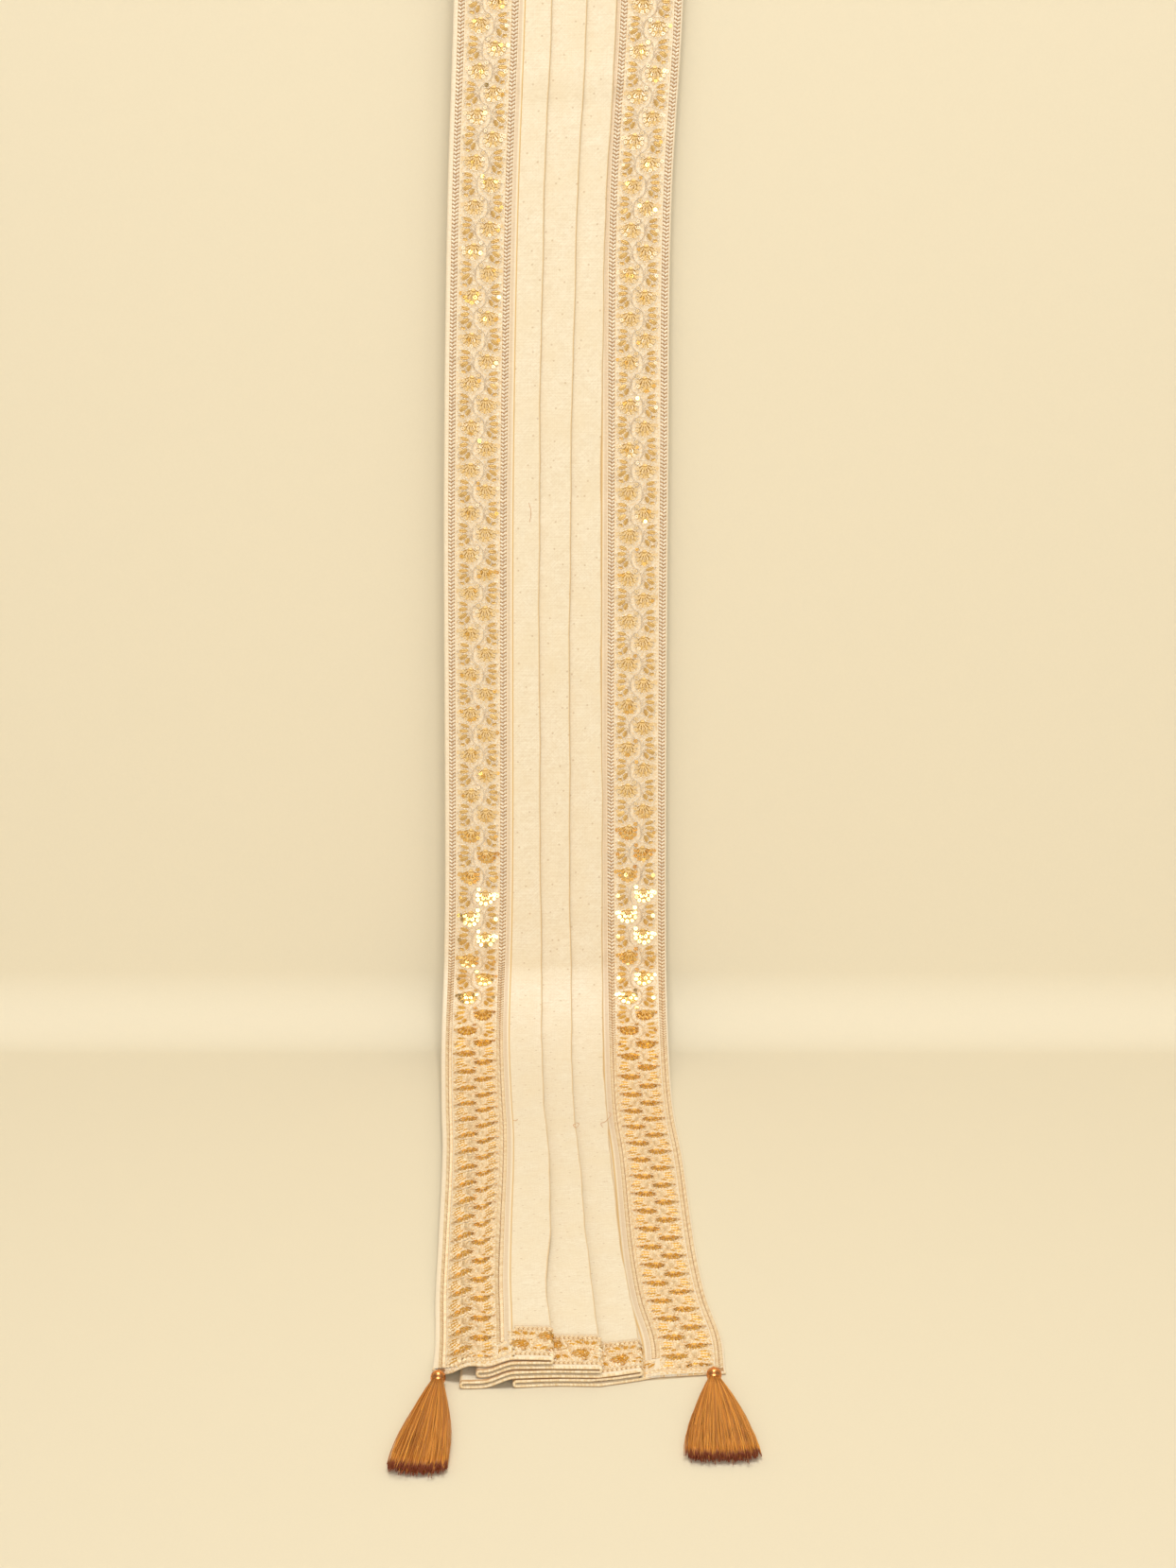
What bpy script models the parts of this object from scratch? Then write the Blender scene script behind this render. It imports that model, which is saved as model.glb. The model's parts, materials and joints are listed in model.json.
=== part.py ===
"""Dupatta stole: a silk stole, folded lengthwise into seven pleats and held up by its top end.

The pleated strip hangs straight down, bends on the floor and runs forward along it to its hem.
All sizes are metres. +X is to the viewer's right, the floor stretch runs towards -Y, +Z is up,
and the origin is the middle of the strip's top end, where it is held.
"""

import math

import bpy
import numpy as np

# Flat sizes of the cut pieces
LENGTH = 2.286            # 90 inches
WIDTH = 0.7112            # 28 inches
WALL = 0.0010             # silk with its turned hem
BORDER = 0.062            # width of the four embroidered strips
STRIP_WALL = 0.0010       # thickness of such a strip
SEAM = 0.0003             # gap where one piece is sewn on another

# The bend on the floor, along the underside of the strip
# run: distance past the point where the bend starts, heading: 0 is straight down, 90 is level
BEND = np.array(
    [(0.000, 0.0), (0.020, 24.0), (0.040, 44.0), (0.060, 58.0), (0.085, 69.0),
     (0.115, 77.5), (0.150, 84.0), (0.195, 88.0), (0.250, 90.0)],
    dtype=[("run", float), ("heading", float)],
)
FLOOR_RUN = 0.569         # level stretch between the bend and the hem
UNDERSIDE_Y = 0.010       # the hanging stretch's back plane, behind the origin

# How the pleats lie, at distances up from the hem. left and right are the edges of the strip,
# pleat_1 to pleat_3 the fold edges that show between them, thick the whole stack of layers,
# sag how far a layer drops where the layers below it stop short: 1 is right down
LAY = np.array(
    [(0.000, -0.1115, -0.0262, 0.0087, 0.0380, 0.0990, 0.0205, 1.00),
     (0.062, -0.1120, -0.0275, 0.0076, 0.0371, 0.0985, 0.0205, 1.00),
     (0.152, -0.1149, -0.0314, 0.0028, 0.0309, 0.0900, 0.0215, 0.90),
     (0.246, -0.1164, -0.0295, -0.0012, 0.0256, 0.0849, 0.0225, 0.80),
     (0.474, -0.1213, -0.0339, -0.0087, 0.0181, 0.0788, 0.0190, 0.60),
     (0.568, -0.1256, -0.0381, -0.0126, 0.0158, 0.0745, 0.0175, 0.50),
     (0.742, -0.1312, -0.0416, -0.0149, 0.0130, 0.0719, 0.0160, 0.30),
     (0.891, -0.1287, -0.0428, -0.0165, 0.0128, 0.0705, 0.0154, 0.20),
     (1.261, -0.1241, -0.0426, -0.0151, 0.0114, 0.0678, 0.0154, 0.15),
     (1.507, -0.1207, -0.0377, -0.0089, 0.0158, 0.0723, 0.0154, 0.15),
     (1.650, -0.1148, -0.0317, -0.0018, 0.0236, 0.0802, 0.0156, 0.15),
     (2.190, -0.0990, -0.0160, 0.0130, 0.0385, 0.0960, 0.0200, 0.10),
     (2.286, -0.0980, -0.0150, 0.0140, 0.0395, 0.0970, 0.0200, 0.10)],
    dtype=[("up", float), ("left", float), ("pleat_1", float), ("pleat_2", float),
           ("pleat_3", float), ("right", float), ("thick", float), ("sag", float)],
)
WRONG_PITCH = 0.0018      # between two layers that lie wrong side to wrong side
BACK_1_IN = (0.032, 0.024)  # hidden fold 1, in from the left edge: at the hem, and hanging
BACK_2_IN = (0.0205, 0.015)
SAG_REACH = 0.020         # how far past a hidden fold the layers above it come down
SAG_IN = 0.002            # and how far over the fold they begin to

# The hem is cut straight but lies askew, and the layers have slid on each other: how far forward
# of its mean line the top layer and the lowest layer lie, across the strip
HEM_LINE = np.array(
    [(-0.112, -0.015, 0.008), (-0.097, -0.008, 0.008), (-0.085, -0.006, 0.008),
     (-0.070, -0.002, 0.005), (-0.040, -0.001, 0.002), (-0.026, 0.000, 0.000),
     (0.009, 0.001, 0.001), (0.036, -0.0085, -0.0085), (0.050, -0.015, -0.015),
     (0.099, -0.021, -0.021)],
    dtype=[("across", float), ("top", float), ("lowest", float)],
)
SLIDE = (0.0, 0.4, 0.8, 1.0)  # how far from the one to the other each pair of layers lies
HEM_FADE = 0.25           # the skew is gone this far up from the hem
CORNER_LIFT = 0.0055      # the left hem corner curls up off the floor
CORNER_REACH = 0.018
CORNER_UP = 0.070

LAYERS = 7                # the first is the one that shows at the left, the last lies on the floor
FOLD_CUTS = 3             # segments round a fold
LEFT_STRIP = 7            # points of the section under the left border, and under the right one
RIGHT_STRIP = 4

# Tassels: two lie on the floor at the hem's corners, two hang at the top corners
BEAD_RADIUS = 0.0055
BEAD_HALF = 0.0046        # half its length
BEAD_BORE = 0.0017
BEAD_BOW = 0.92           # how far its outline runs round towards the poles of an ellipse
BEAD_SIDES = 12
BEAD_RINGS = 6
CORD_RADIUS = 0.0013
HEAD_RADIUS = 0.0036      # where the head begins, below the bead
HEAD_SPREAD = 1.25        # and this much wider where the locks begin
HEAD_FLAT = 0.8           # its depth for its width
HEAD_LENGTH = 0.006
HEAD_SHOULDER = 0.0012
LOCKS_ACROSS = 7
LOCKS_DEEP = 3
LOCK_STEPS = 3
LOCK_FILL = 0.80          # a lock's width for its share of the tassel's end
LOCK_INSET = 0.72         # its root's size for the cell of the head that it grows from
LOCK_ROOT = (0.0007, 0.0006)  # half its width and depth just below the head
LOCK_RAGGED = 0.004       # the locks' ends stand up to this far before or behind the tassel's end
LOCK_FAN = 0.10           # and the outer ones this much shorter for each metre aside
LOCK_LIFT = 0.0004        # the lying locks end just above the floor

# The tassels on the floor, from the hem's corner: how far in the cord is sewn, how far forward
# and across the bead and the end lie, and how wide the end is
HEM_TASSELS = np.array(
    [("left", 0.005, 0.011, 0.000, 0.161, -0.009, 0.039),
     ("right", 0.009, 0.013, 0.000, 0.149, 0.002, 0.048)],
    dtype=[("side", "U5"), ("inset", float), ("bead_forward", float), ("bead_across", float),
           ("end_forward", float), ("end_across", float), ("end_width", float)],
)
HEM_TASSEL_DEPTH = 0.0066

# The tassels that hang from the top corners, from the corner outwards and down
TOP_BEAD_OUT = 0.013
TOP_BEAD_DOWN = 0.012
TOP_TASSEL_DROP = 0.150
TOP_TASSEL_WIDTH = 0.019
TOP_TASSEL_DEPTH = 0.013
TOP_CORD_DOWN = 0.004     # the cord is sewn on this far below the end

CREAM = (0.90, 0.76, 0.50)
IVORY = (0.91, 0.80, 0.62)
TASSEL = (0.51, 0.19, 0.035)
COPPER = (0.60, 0.25, 0.08)


def clear_scene():
    for old in list(bpy.data.objects):
        bpy.data.objects.remove(old, do_unlink=True)


def smooth_step(value):
    """0 below 0, 1 above 1, and an S curve between."""
    value = np.clip(value, 0.0, 1.0)
    return value * value * (3.0 - 2.0 * value)


def smooth_between(at, knots, values):
    """A cubic through the knots whose slope at each is the mean of its two chords' slopes."""
    chords = np.diff(values) / np.diff(knots)
    slopes = np.concatenate([chords[:1], (chords[1:] + chords[:-1]) / 2, chords[-1:]])
    at = np.clip(at, knots[0], knots[-1])
    i = np.clip(np.searchsorted(knots, at, side="right") - 1, 0, len(knots) - 2)
    gap = knots[i + 1] - knots[i]
    f = (at - knots[i]) / gap
    return (
        (1 + 2 * f) * (1 - f) ** 2 * values[i]
        + f * (1 - f) ** 2 * gap * slopes[i]
        + f * f * (3 - 2 * f) * values[i + 1]
        + f * f * (f - 1) * gap * slopes[i + 1]
    )


def underside():
    """The strip's underside in side view: distance up from the hem, y, z and heading, hem last."""
    bend = float(BEND["run"][-1])
    hang = LENGTH - bend - FLOOR_RUN
    run = np.linspace(0.0, LENGTH, 4001)
    heading = np.radians(np.interp(run - hang, BEND["run"], BEND["heading"]))
    step = run[1] - run[0]
    middle = (heading[1:] + heading[:-1]) / 2
    y = UNDERSIDE_Y - np.concatenate([[0.0], np.cumsum(np.sin(middle) * step)])
    z = -np.concatenate([[0.0], np.cumsum(np.cos(middle) * step)])
    return LENGTH - run[::-1], y[::-1], z[::-1], heading[::-1]


UP, PATH_Y, PATH_Z, HEADING = underside()
FLOOR = float(PATH_Z[0])


def lay_at(up):
    """The pleats' places and heights at one distance up from the hem, as a dictionary."""
    row = {name: float(smooth_between(up, LAY["up"], LAY[name])) for name in LAY.dtype.names[1:]}
    hem = float(1.0 - smooth_step(up / LAY["up"][6]))
    row["back_1"] = row["left"] + BACK_1_IN[1] + (BACK_1_IN[0] - BACK_1_IN[1]) * hem
    row["back_2"] = row["left"] + BACK_2_IN[1] + (BACK_2_IN[0] - BACK_2_IN[1]) * hem
    row["face_pitch"] = (row["thick"] - WALL) / 3 - WRONG_PITCH
    # The third hidden fold takes up what is left of the cloth's flat width
    rounds = (math.pi - 2) / 2 * 3 * (WRONG_PITCH + row["face_pitch"])
    shown = 2 * (row["pleat_1"] + row["pleat_2"] + row["pleat_3"]) + row["right"] - row["left"]
    row["back_3"] = (shown - (WIDTH - rounds)) / 2 - row["back_1"] - row["back_2"]
    return row


def sag_zones(row):
    """Where the layers come down: from, to and the pairs of layers that stop short there.

    The lowest pair ends at hidden fold 3. The top layer alone also passes folds 2 and 1."""
    sag_to = min(row["back_3"], row["left"] + BORDER - 2 * SAG_IN) + SAG_IN
    lowest = (max(sag_to - SAG_REACH, row["back_1"] + 2 * SAG_IN), sag_to)
    upper = (row["left"], row["back_1"] - SAG_IN)
    return lowest, upper


def drop(x, pairs, row):
    """How far a layer with this many pairs of layers below it comes down where they stop short."""
    lowest, upper = sag_zones(row)
    pair = (WRONG_PITCH + row["face_pitch"]) * row["sag"]
    down = np.where(pairs > 0, pair * (1.0 - smooth_step((x - lowest[0]) / (lowest[1] - lowest[0]))), 0.0)
    over = 1.0 - smooth_step((x - upper[0]) / (upper[1] - upper[0]))
    return down + np.where(pairs == 3, 2 * pair * over, 0.0)


def layer_points(layer, first, last, row):
    """The x of a layer's points, first to last: at its ends, where it sags, and under a border."""
    (sag_from, sag_to), _ = sag_zones(row)
    sagging = [sag_from, (sag_from + sag_to) / 2, sag_to]
    if layer == 0:
        return [first, first + BORDER / 5, first + BORDER / 2.5, *sagging, first + BORDER, last]
    if layer == 5:
        return [first, (first + last) / 2, last]
    if layer == 6:
        inner = last - BORDER
        return [first, (first + inner) / 2, inner, inner + BORDER / 3, inner + BORDER / 1.5, last]
    if layer % 2:
        return [first, *sagging[::-1], last]
    return [first, *sagging, (sag_to + last) / 2, last]


def section(up):
    """The folded cloth's middle line across the strip: rows of x, height over the underside and
    distance forward of the section's own place.

    It runs from the left edge along the seven layers and round the six folds between them."""
    row = lay_at(up)
    wrong, face = WRONG_PITCH / 2, row["face_pitch"] / 2
    stops = [row["left"], row["pleat_1"], row["back_1"], row["pleat_2"], row["back_2"],
             row["pleat_3"], row["back_3"], row["right"]]
    radii = [0.0, wrong, face, wrong, face, wrong, face, 0.0]
    height = row["thick"] - WALL / 2
    turn = np.linspace(0.0, math.pi, FOLD_CUTS + 1)[1:-1]
    xs, heights, pairs, slides = [], [], [], []
    for layer in range(LAYERS):
        way = 1 if layer % 2 == 0 else -1
        first = stops[layer] + way * radii[layer]
        last = stops[layer + 1] - way * radii[layer + 1]
        across = layer_points(layer, first, last, row)
        xs.append(np.array(across))
        heights.append(np.full(len(across), height))
        pairs.append(np.full(len(across), (LAYERS - layer) // 2))
        slides.append(np.full(len(across), SLIDE[(layer + 1) // 2]))
        radius = radii[layer + 1]
        if radius:
            xs.append(last + way * radius * np.sin(turn))
            heights.append(height - radius + radius * np.cos(turn))
            pairs.append(np.full(len(turn), (LAYERS - 1 - layer) // 2))
            slides.append(np.full(len(turn), SLIDE[(layer + 1) // 2]))
        height -= 2 * radius
    x, height, pairs, slide = (np.concatenate(part) for part in (xs, heights, pairs, slides))
    height = height - drop(x, pairs, row)
    edge = np.clip(1.0 - (x - row["left"]) / CORNER_REACH, 0.0, 1.0) ** 2
    lift = CORNER_LIFT * edge * max(0.0, 1.0 - up / CORNER_UP) ** 2
    top = np.interp(x, HEM_LINE["across"], HEM_LINE["top"])
    lowest = np.interp(x, HEM_LINE["across"], HEM_LINE["lowest"])
    forward = (top + (lowest - top) * slide) * (1.0 - smooth_step(up / HEM_FADE))
    return np.stack([x, height + np.where(pairs == 3, lift, 0.0), forward], axis=1)


def moved_out(line, distance):
    """The line moved towards the face of the cloth, at right angles to its own run."""
    run = np.diff(line[:, :2], axis=0)
    run /= np.linalg.norm(run, axis=1)[:, None]
    sides = np.stack([-run[:, 1], run[:, 0], np.zeros(len(run))], axis=1)
    before = np.concatenate([sides[:1], sides])
    after = np.concatenate([sides, sides[-1:]])
    mean = before + after
    mean /= (mean * before).sum(axis=1)[:, None]
    return line + distance * mean


def placed(flat, up):
    """Points of a section (x, height over the underside, forward) as points in space."""
    y = np.interp(up, UP, PATH_Y)
    z = np.interp(up, UP, PATH_Z)
    heading = np.interp(up, UP, HEADING)
    return np.stack(
        [flat[:, 0],
         y - flat[:, 2] - flat[:, 1] * math.cos(heading),
         z + flat[:, 1] * math.sin(heading)],
        axis=1,
    )


def add_material(name, colour, roughness, metallic=0.0):
    material = bpy.data.materials.new(name)
    material.use_nodes = True
    shader = material.node_tree.nodes["Principled BSDF"]
    shader.inputs["Base Color"].default_value = (*colour, 1.0)
    shader.inputs["Roughness"].default_value = roughness
    shader.inputs["Metallic"].default_value = metallic
    return material


def add_object(name, points, faces, material, smooth_angle=None):
    mesh = bpy.data.meshes.new(name)
    mesh.from_pydata([tuple(p) for p in points], [], [tuple(f) for f in faces])
    mesh.materials.append(material)
    if smooth_angle is not None:
        mesh.shade_smooth()
        mesh.set_sharp_from_angle(angle=math.radians(smooth_angle))
    made = bpy.data.objects.new(name, mesh)
    bpy.context.scene.collection.objects.link(made)
    return made


def wall(name, upper_and_lower, material):
    """A closed wall from stations of (upper line, lower line), each with the same points.

    Each of its cells is split from the nearer station's first point to the next one's second, on
    both sides of the wall, so that a strip follows the cloth under it exactly."""
    stations = len(upper_and_lower)
    count = len(upper_and_lower[0][0])
    points = np.concatenate([np.concatenate([upper, lower]) for upper, lower in upper_and_lower])
    faces = []
    for s in range(stations - 1):
        a, b = s * 2 * count, (s + 1) * 2 * count
        for i in range(count - 1):
            faces.append((a + i, a + i + 1, b + i + 1))
            faces.append((a + i, b + i + 1, b + i))
            low, lower_next = a + count + i, b + count + i
            faces.append((low, lower_next + 1, low + 1))
            faces.append((low, lower_next, lower_next + 1))
        faces.append((a, b, b + count, a + count))
        end = count - 1
        faces.append((a + end, a + count + end, b + count + end, b + end))
    last = (stations - 1) * 2 * count
    for i in range(count - 1):
        faces.append((i, count + i, count + i + 1, i + 1))
        faces.append((last + i, last + i + 1, last + count + i + 1, last + count + i))
    return add_object(name, points, faces, material, smooth_angle=40)


def stations_up():
    """Distances up from the hem at which the cloth's sections stand: closest in the bend."""
    bend_top = FLOOR_RUN + float(BEND["run"][-1])
    return np.unique(np.round(np.concatenate([
        np.linspace(0.0, BORDER, 3),
        np.linspace(BORDER, FLOOR_RUN, 9),
        np.linspace(FLOOR_RUN, bend_top, 12),
        np.linspace(bend_top, LENGTH - BORDER, 12),
        np.linspace(LENGTH - BORDER, LENGTH, 3),
    ]), 6))


def cloth(material):
    rows = []
    for up in stations_up():
        line = section(up)
        upper = placed(moved_out(line, WALL / 2), up)
        lower = placed(moved_out(line, -WALL / 2), up)
        rows.append((upper, lower))
    return wall("cloth", rows, material)


def strip_on(line, first, last, up, inset=0.0):
    """A border's upper and lower lines: the cloth's points first to last, moved out over the seam."""
    pair = []
    for height in (WALL / 2 + SEAM + STRIP_WALL, WALL / 2 + SEAM):
        part = moved_out(line, height)[first:last]
        part[0] += inset * unit(part[1] - part[0])
        part[-1] += inset * unit(part[-2] - part[-1])
        pair.append(placed(part, up))
    return tuple(pair)


def side_border(name, at_left, material):
    """A long strip sewn on the face of the first or the last layer, flush with its edge."""
    rows = []
    for up in stations_up():
        line = section(up)
        first, last = (0, LEFT_STRIP) if at_left else (len(line) - RIGHT_STRIP, len(line))
        rows.append(strip_on(line, first, last, up))
    return wall(name, rows, material)


def end_border(name, ups, material):
    """A short strip across all seven layers, between the long strips, on the face of each."""
    rows = []
    for up in ups:
        line = section(up)
        rows.append(strip_on(line, LEFT_STRIP - 1, len(line) - RIGHT_STRIP + 1, up, inset=SEAM))
    return wall(name, rows, material)


def unit(vector):
    vector = np.asarray(vector, float)
    return vector / np.linalg.norm(vector)


def bead(name, centre, axis, material):
    """A barrel bead with a bore, turned about its axis."""
    side = unit(np.cross(axis, (0.0, 0.0, 1.0) if abs(axis[2]) < 0.9 else (0.0, 1.0, 0.0)))
    other = np.cross(axis, side)
    bow = np.linspace(-1.0, 1.0, BEAD_RINGS)
    outer = BEAD_BORE + (BEAD_RADIUS - BEAD_BORE) * np.sqrt(1.0 - (BEAD_BOW * bow) ** 2)
    profile = [(BEAD_BORE, -BEAD_HALF)] + list(zip(outer, BEAD_HALF * bow)) + [(BEAD_BORE, BEAD_HALF)]
    points, faces = [], []
    for k in range(BEAD_SIDES):
        angle = 2 * math.pi * k / BEAD_SIDES
        out = math.cos(angle) * side + math.sin(angle) * other
        points += [centre + out * radius + axis * height for radius, height in profile]
    n = len(profile)
    for k in range(BEAD_SIDES):
        a, b = k * n, (k + 1) % BEAD_SIDES * n
        for i in range(n):
            j = (i + 1) % n
            faces.append((a + i, b + i, b + j, a + j))
    return add_object(name, points, faces, material, smooth_angle=50)


def grid_edge():
    """The cells' corner numbers round the edge of the tassel head's end, in order."""
    wide, deep = LOCKS_ACROSS, LOCKS_DEEP
    row = wide + 1
    below = [i for i in range(wide)]
    right = [j * row + wide for j in range(deep)]
    above = [deep * row + i for i in range(wide, 0, -1)]
    left = [j * row for j in range(deep, 0, -1)]
    return below + right + above + left


def on_disc(i, j, radius_across, radius_deep):
    """The corner (i, j) of the grid of locks, pressed into an oval."""
    u = 2.0 * i / LOCKS_ACROSS - 1.0
    v = 2.0 * j / LOCKS_DEEP - 1.0
    return radius_across * u * math.sqrt(1 - v * v / 2), radius_deep * v * math.sqrt(1 - u * u / 2)


def tassel(name, root, centre, axis, end, across, end_width, end_depth, material):
    """Cord, head and locks in one body.

    The cord starts at root, goes through the bead at centre along axis, swells into the head,
    and each cell of the head's end grows into a lock that bends over to its place at the end."""
    up = unit(np.cross(across, axis))
    across = unit(np.cross(up, axis))
    start = centre + axis * (BEAD_HALF + SEAM)
    rings = [
        (root, CORD_RADIUS, CORD_RADIUS),
        (centre - axis * (BEAD_HALF + CORD_RADIUS), CORD_RADIUS, CORD_RADIUS),
        (start, CORD_RADIUS, CORD_RADIUS),
        (start + axis * HEAD_SHOULDER, HEAD_RADIUS, HEAD_RADIUS * HEAD_FLAT),
        (start + axis * HEAD_LENGTH, HEAD_RADIUS * HEAD_SPREAD, HEAD_RADIUS * HEAD_FLAT),
    ]
    points, faces = [], []
    row = LOCKS_ACROSS + 1
    edge = grid_edge()
    n = len(edge)
    for middle, wide, deep in rings:
        for corner in edge:
            du, dv = on_disc(corner % row, corner // row, wide, deep)
            points.append(middle + across * du + up * dv)
    faces.append(tuple(range(n - 1, -1, -1)))
    for s in range(len(rings) - 1):
        a, b = s * n, (s + 1) * n
        for k in range(n):
            m = (k + 1) % n
            faces.append((a + k, a + m, b + m, b + k))
    # The head's end: a grid whose outer corners are the last ring
    middle, wide, deep = rings[-1]
    number = {corner: (len(rings) - 1) * n + k for k, corner in enumerate(edge)}
    for corner in range(row * (LOCKS_DEEP + 1)):
        if corner not in number:
            du, dv = on_disc(corner % row, corner // row, wide, deep)
            number[corner] = len(points)
            points.append(middle + across * du + up * dv)
    for j in range(LOCKS_DEEP):
        for i in range(LOCKS_ACROSS):
            cell = [number[j * row + i], number[j * row + i + 1],
                    number[(j + 1) * row + i + 1], number[(j + 1) * row + i]]
            corners = np.array([points[c] for c in cell])
            lock(points, faces, cell, corners, axis, across, up, middle,
                 end, end_width, end_depth, (i, j))
    return add_object(name, points, faces, material, smooth_angle=50)


def lock(points, faces, cell, corners, axis, across, up, middle, end, end_width, end_depth, place):
    """One four-sided lock out of a cell: inset a little, then carried on to its place at the end."""
    i, j = place
    root = corners.mean(axis=0)
    half_wide = end_width / LOCKS_ACROSS * LOCK_FILL / 2
    half_deep = end_depth / LOCKS_DEEP * LOCK_FILL / 2
    reach = ((i + 0.5) / LOCKS_ACROSS - 0.5) * end_width
    layer = ((j + 0.5) / LOCKS_DEEP - 0.5) * end_depth
    ragged = LOCK_RAGGED * math.sin(2.3 * i + 4.1 * j)
    tip = end + across * reach + up * layer + axis * (ragged - LOCK_FAN * abs(reach))
    previous = cell
    for s in range(LOCK_STEPS + 1):
        f = s / LOCK_STEPS
        ease = f ** 0.8
        along = root + axis * (f * float((tip - root) @ axis))
        aside = float((tip - root) @ across) * ease
        height = float((tip - root) @ up) * smooth_step(1.4 * f)
        centre = along + across * aside + up * height
        if s == 0:
            ring = root + (corners - root) * LOCK_INSET
        else:
            wide = LOCK_ROOT[0] + (half_wide - LOCK_ROOT[0]) * ease
            deep = LOCK_ROOT[1] + (half_deep - LOCK_ROOT[1]) * ease
            ring = [centre - across * wide - up * deep, centre + across * wide - up * deep,
                    centre + across * wide + up * deep, centre - across * wide + up * deep]
        here = list(range(len(points), len(points) + 4))
        points.extend(np.asarray(p) for p in ring)
        for a in range(4):
            b = (a + 1) % 4
            faces.append((previous[a], previous[b], here[b], here[a]))
        previous = here
    faces.append(tuple(previous))


def corner_point(up, side, inset):
    """A point in the middle of the cloth's thickness, this far in from its left or right edge."""
    line = section(up)
    part = line[:LEFT_STRIP] if side == "left" else line[-RIGHT_STRIP:]
    x = part[0, 0] + inset if side == "left" else part[-1, 0] - inset
    flat = [x, np.interp(x, part[:, 0], part[:, 1]), np.interp(x, part[:, 0], part[:, 2])]
    return placed(np.array([flat]), up)[0]


def hem_tassel(row, cord, metal):
    """A tassel that lies on the floor before the hem, from a row of HEM_TASSELS."""
    side = str(row["side"])
    x, y, _ = corner = corner_point(0.0, side, row["inset"])
    centre = np.array([x + row["bead_across"], y - row["bead_forward"], FLOOR + BEAD_RADIUS + SEAM])
    root = corner + np.array([0.0, -CORD_RADIUS / 2 - SEAM, 0.0])
    root[2] = max(root[2], FLOOR + CORD_RADIUS + SEAM)
    end = np.array([x + row["end_across"], y - row["end_forward"],
                    FLOOR + LOCK_LIFT + HEM_TASSEL_DEPTH / 2])
    level = unit((end - centre) * (1.0, 1.0, 0.0))
    across = np.cross(level, (0.0, 0.0, 1.0))
    bead(f"bead_hem_{side}", centre, level, metal)
    tassel(f"tassel_hem_{side}", root, centre, level, end, across,
           float(row["end_width"]), HEM_TASSEL_DEPTH, cord)


def top_tassel(side, cord, metal):
    """A tassel that hangs from a corner of the top end, just outside the strip's edge."""
    way = -1.0 if side == "left" else 1.0
    corner = corner_point(LENGTH - TOP_CORD_DOWN, side, 0.0)
    root = corner + np.array([way * (CORD_RADIUS + SEAM), 0.0, 0.0])
    centre = corner + np.array([way * TOP_BEAD_OUT, 0.0, -TOP_BEAD_DOWN])
    axis = np.array([0.0, 0.0, -1.0])
    end = centre + axis * TOP_TASSEL_DROP
    across = np.array([1.0, 0.0, 0.0])
    bead(f"bead_top_{side}", centre, axis, metal)
    tassel(f"tassel_top_{side}", root, centre, axis, end, across,
           TOP_TASSEL_WIDTH, TOP_TASSEL_DEPTH, cord)


def main():
    clear_scene()
    cream = add_material("cream_silk", CREAM, 0.62)
    ivory = add_material("embroidered_ivory", IVORY, 0.55)
    silk_cord = add_material("tassel_silk", TASSEL, 0.5)
    copper = add_material("copper", COPPER, 0.3, 1.0)
    cloth(cream)
    side_border("border_left", True, ivory)
    side_border("border_right", False, ivory)
    end_border("border_hem", np.linspace(0.0, BORDER, 3), ivory)
    end_border("border_top", np.linspace(LENGTH - BORDER, LENGTH, 3), ivory)
    for row in HEM_TASSELS:
        hem_tassel(row, silk_cord, copper)
        top_tassel(str(row["side"]), silk_cord, copper)


main()
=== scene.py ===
# %% [markdown]
# # A silk dupatta stole
# The stole is one long piece of cream silk, folded lengthwise like a paper fan that is pressed
# flat. It is held up by its top end, hangs straight down, bends on the floor and runs towards the
# viewer. The frame holds its solid pieces. This script dresses them: each piece of cloth becomes
# a thin shell on its solid's form, and the embroidery is laid on it stitch by stitch.

import json
import math

import bpy
import numpy as np
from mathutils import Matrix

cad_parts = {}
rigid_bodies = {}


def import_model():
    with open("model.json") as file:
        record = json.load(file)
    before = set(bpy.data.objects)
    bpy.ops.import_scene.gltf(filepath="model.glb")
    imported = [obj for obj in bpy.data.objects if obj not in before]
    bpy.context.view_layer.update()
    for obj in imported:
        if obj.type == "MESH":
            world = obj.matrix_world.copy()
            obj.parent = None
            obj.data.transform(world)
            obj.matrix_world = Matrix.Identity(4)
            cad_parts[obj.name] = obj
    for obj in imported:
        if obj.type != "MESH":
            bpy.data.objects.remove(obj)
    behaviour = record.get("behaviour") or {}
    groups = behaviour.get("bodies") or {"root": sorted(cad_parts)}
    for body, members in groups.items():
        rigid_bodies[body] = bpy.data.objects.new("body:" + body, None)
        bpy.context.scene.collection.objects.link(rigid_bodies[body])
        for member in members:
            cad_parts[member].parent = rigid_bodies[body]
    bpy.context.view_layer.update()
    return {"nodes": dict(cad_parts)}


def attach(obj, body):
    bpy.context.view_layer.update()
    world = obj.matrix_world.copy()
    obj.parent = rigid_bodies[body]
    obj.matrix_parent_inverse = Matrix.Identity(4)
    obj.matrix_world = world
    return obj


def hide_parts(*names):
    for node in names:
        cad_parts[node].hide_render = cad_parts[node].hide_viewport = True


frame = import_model()
print("nodes:", sorted(frame["nodes"]))

# %% [markdown]
# ## Sizes
# A tailor thinks of a stole as a flat rectangle: 90 by 28 inches, with an embroidered strip sewn
# along its four edges. A cloth simulation could drape it, but pressed pleats that were laid by
# hand stay where they were put, so tables say it better. They are the same ones that the solids
# were made from, so the shells fit the solids.

# %% Sizes of the cut pieces and of the lay
LENGTH = 2.286
WIDTH = 0.7112
BORDER = 0.062
CLOTH_THICK = 0.0009
FLOOR_RUN = 0.569  # so much of the length lies level
UNDERSIDE_Y = 0.010  # where the hanging stretch's underside is
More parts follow.
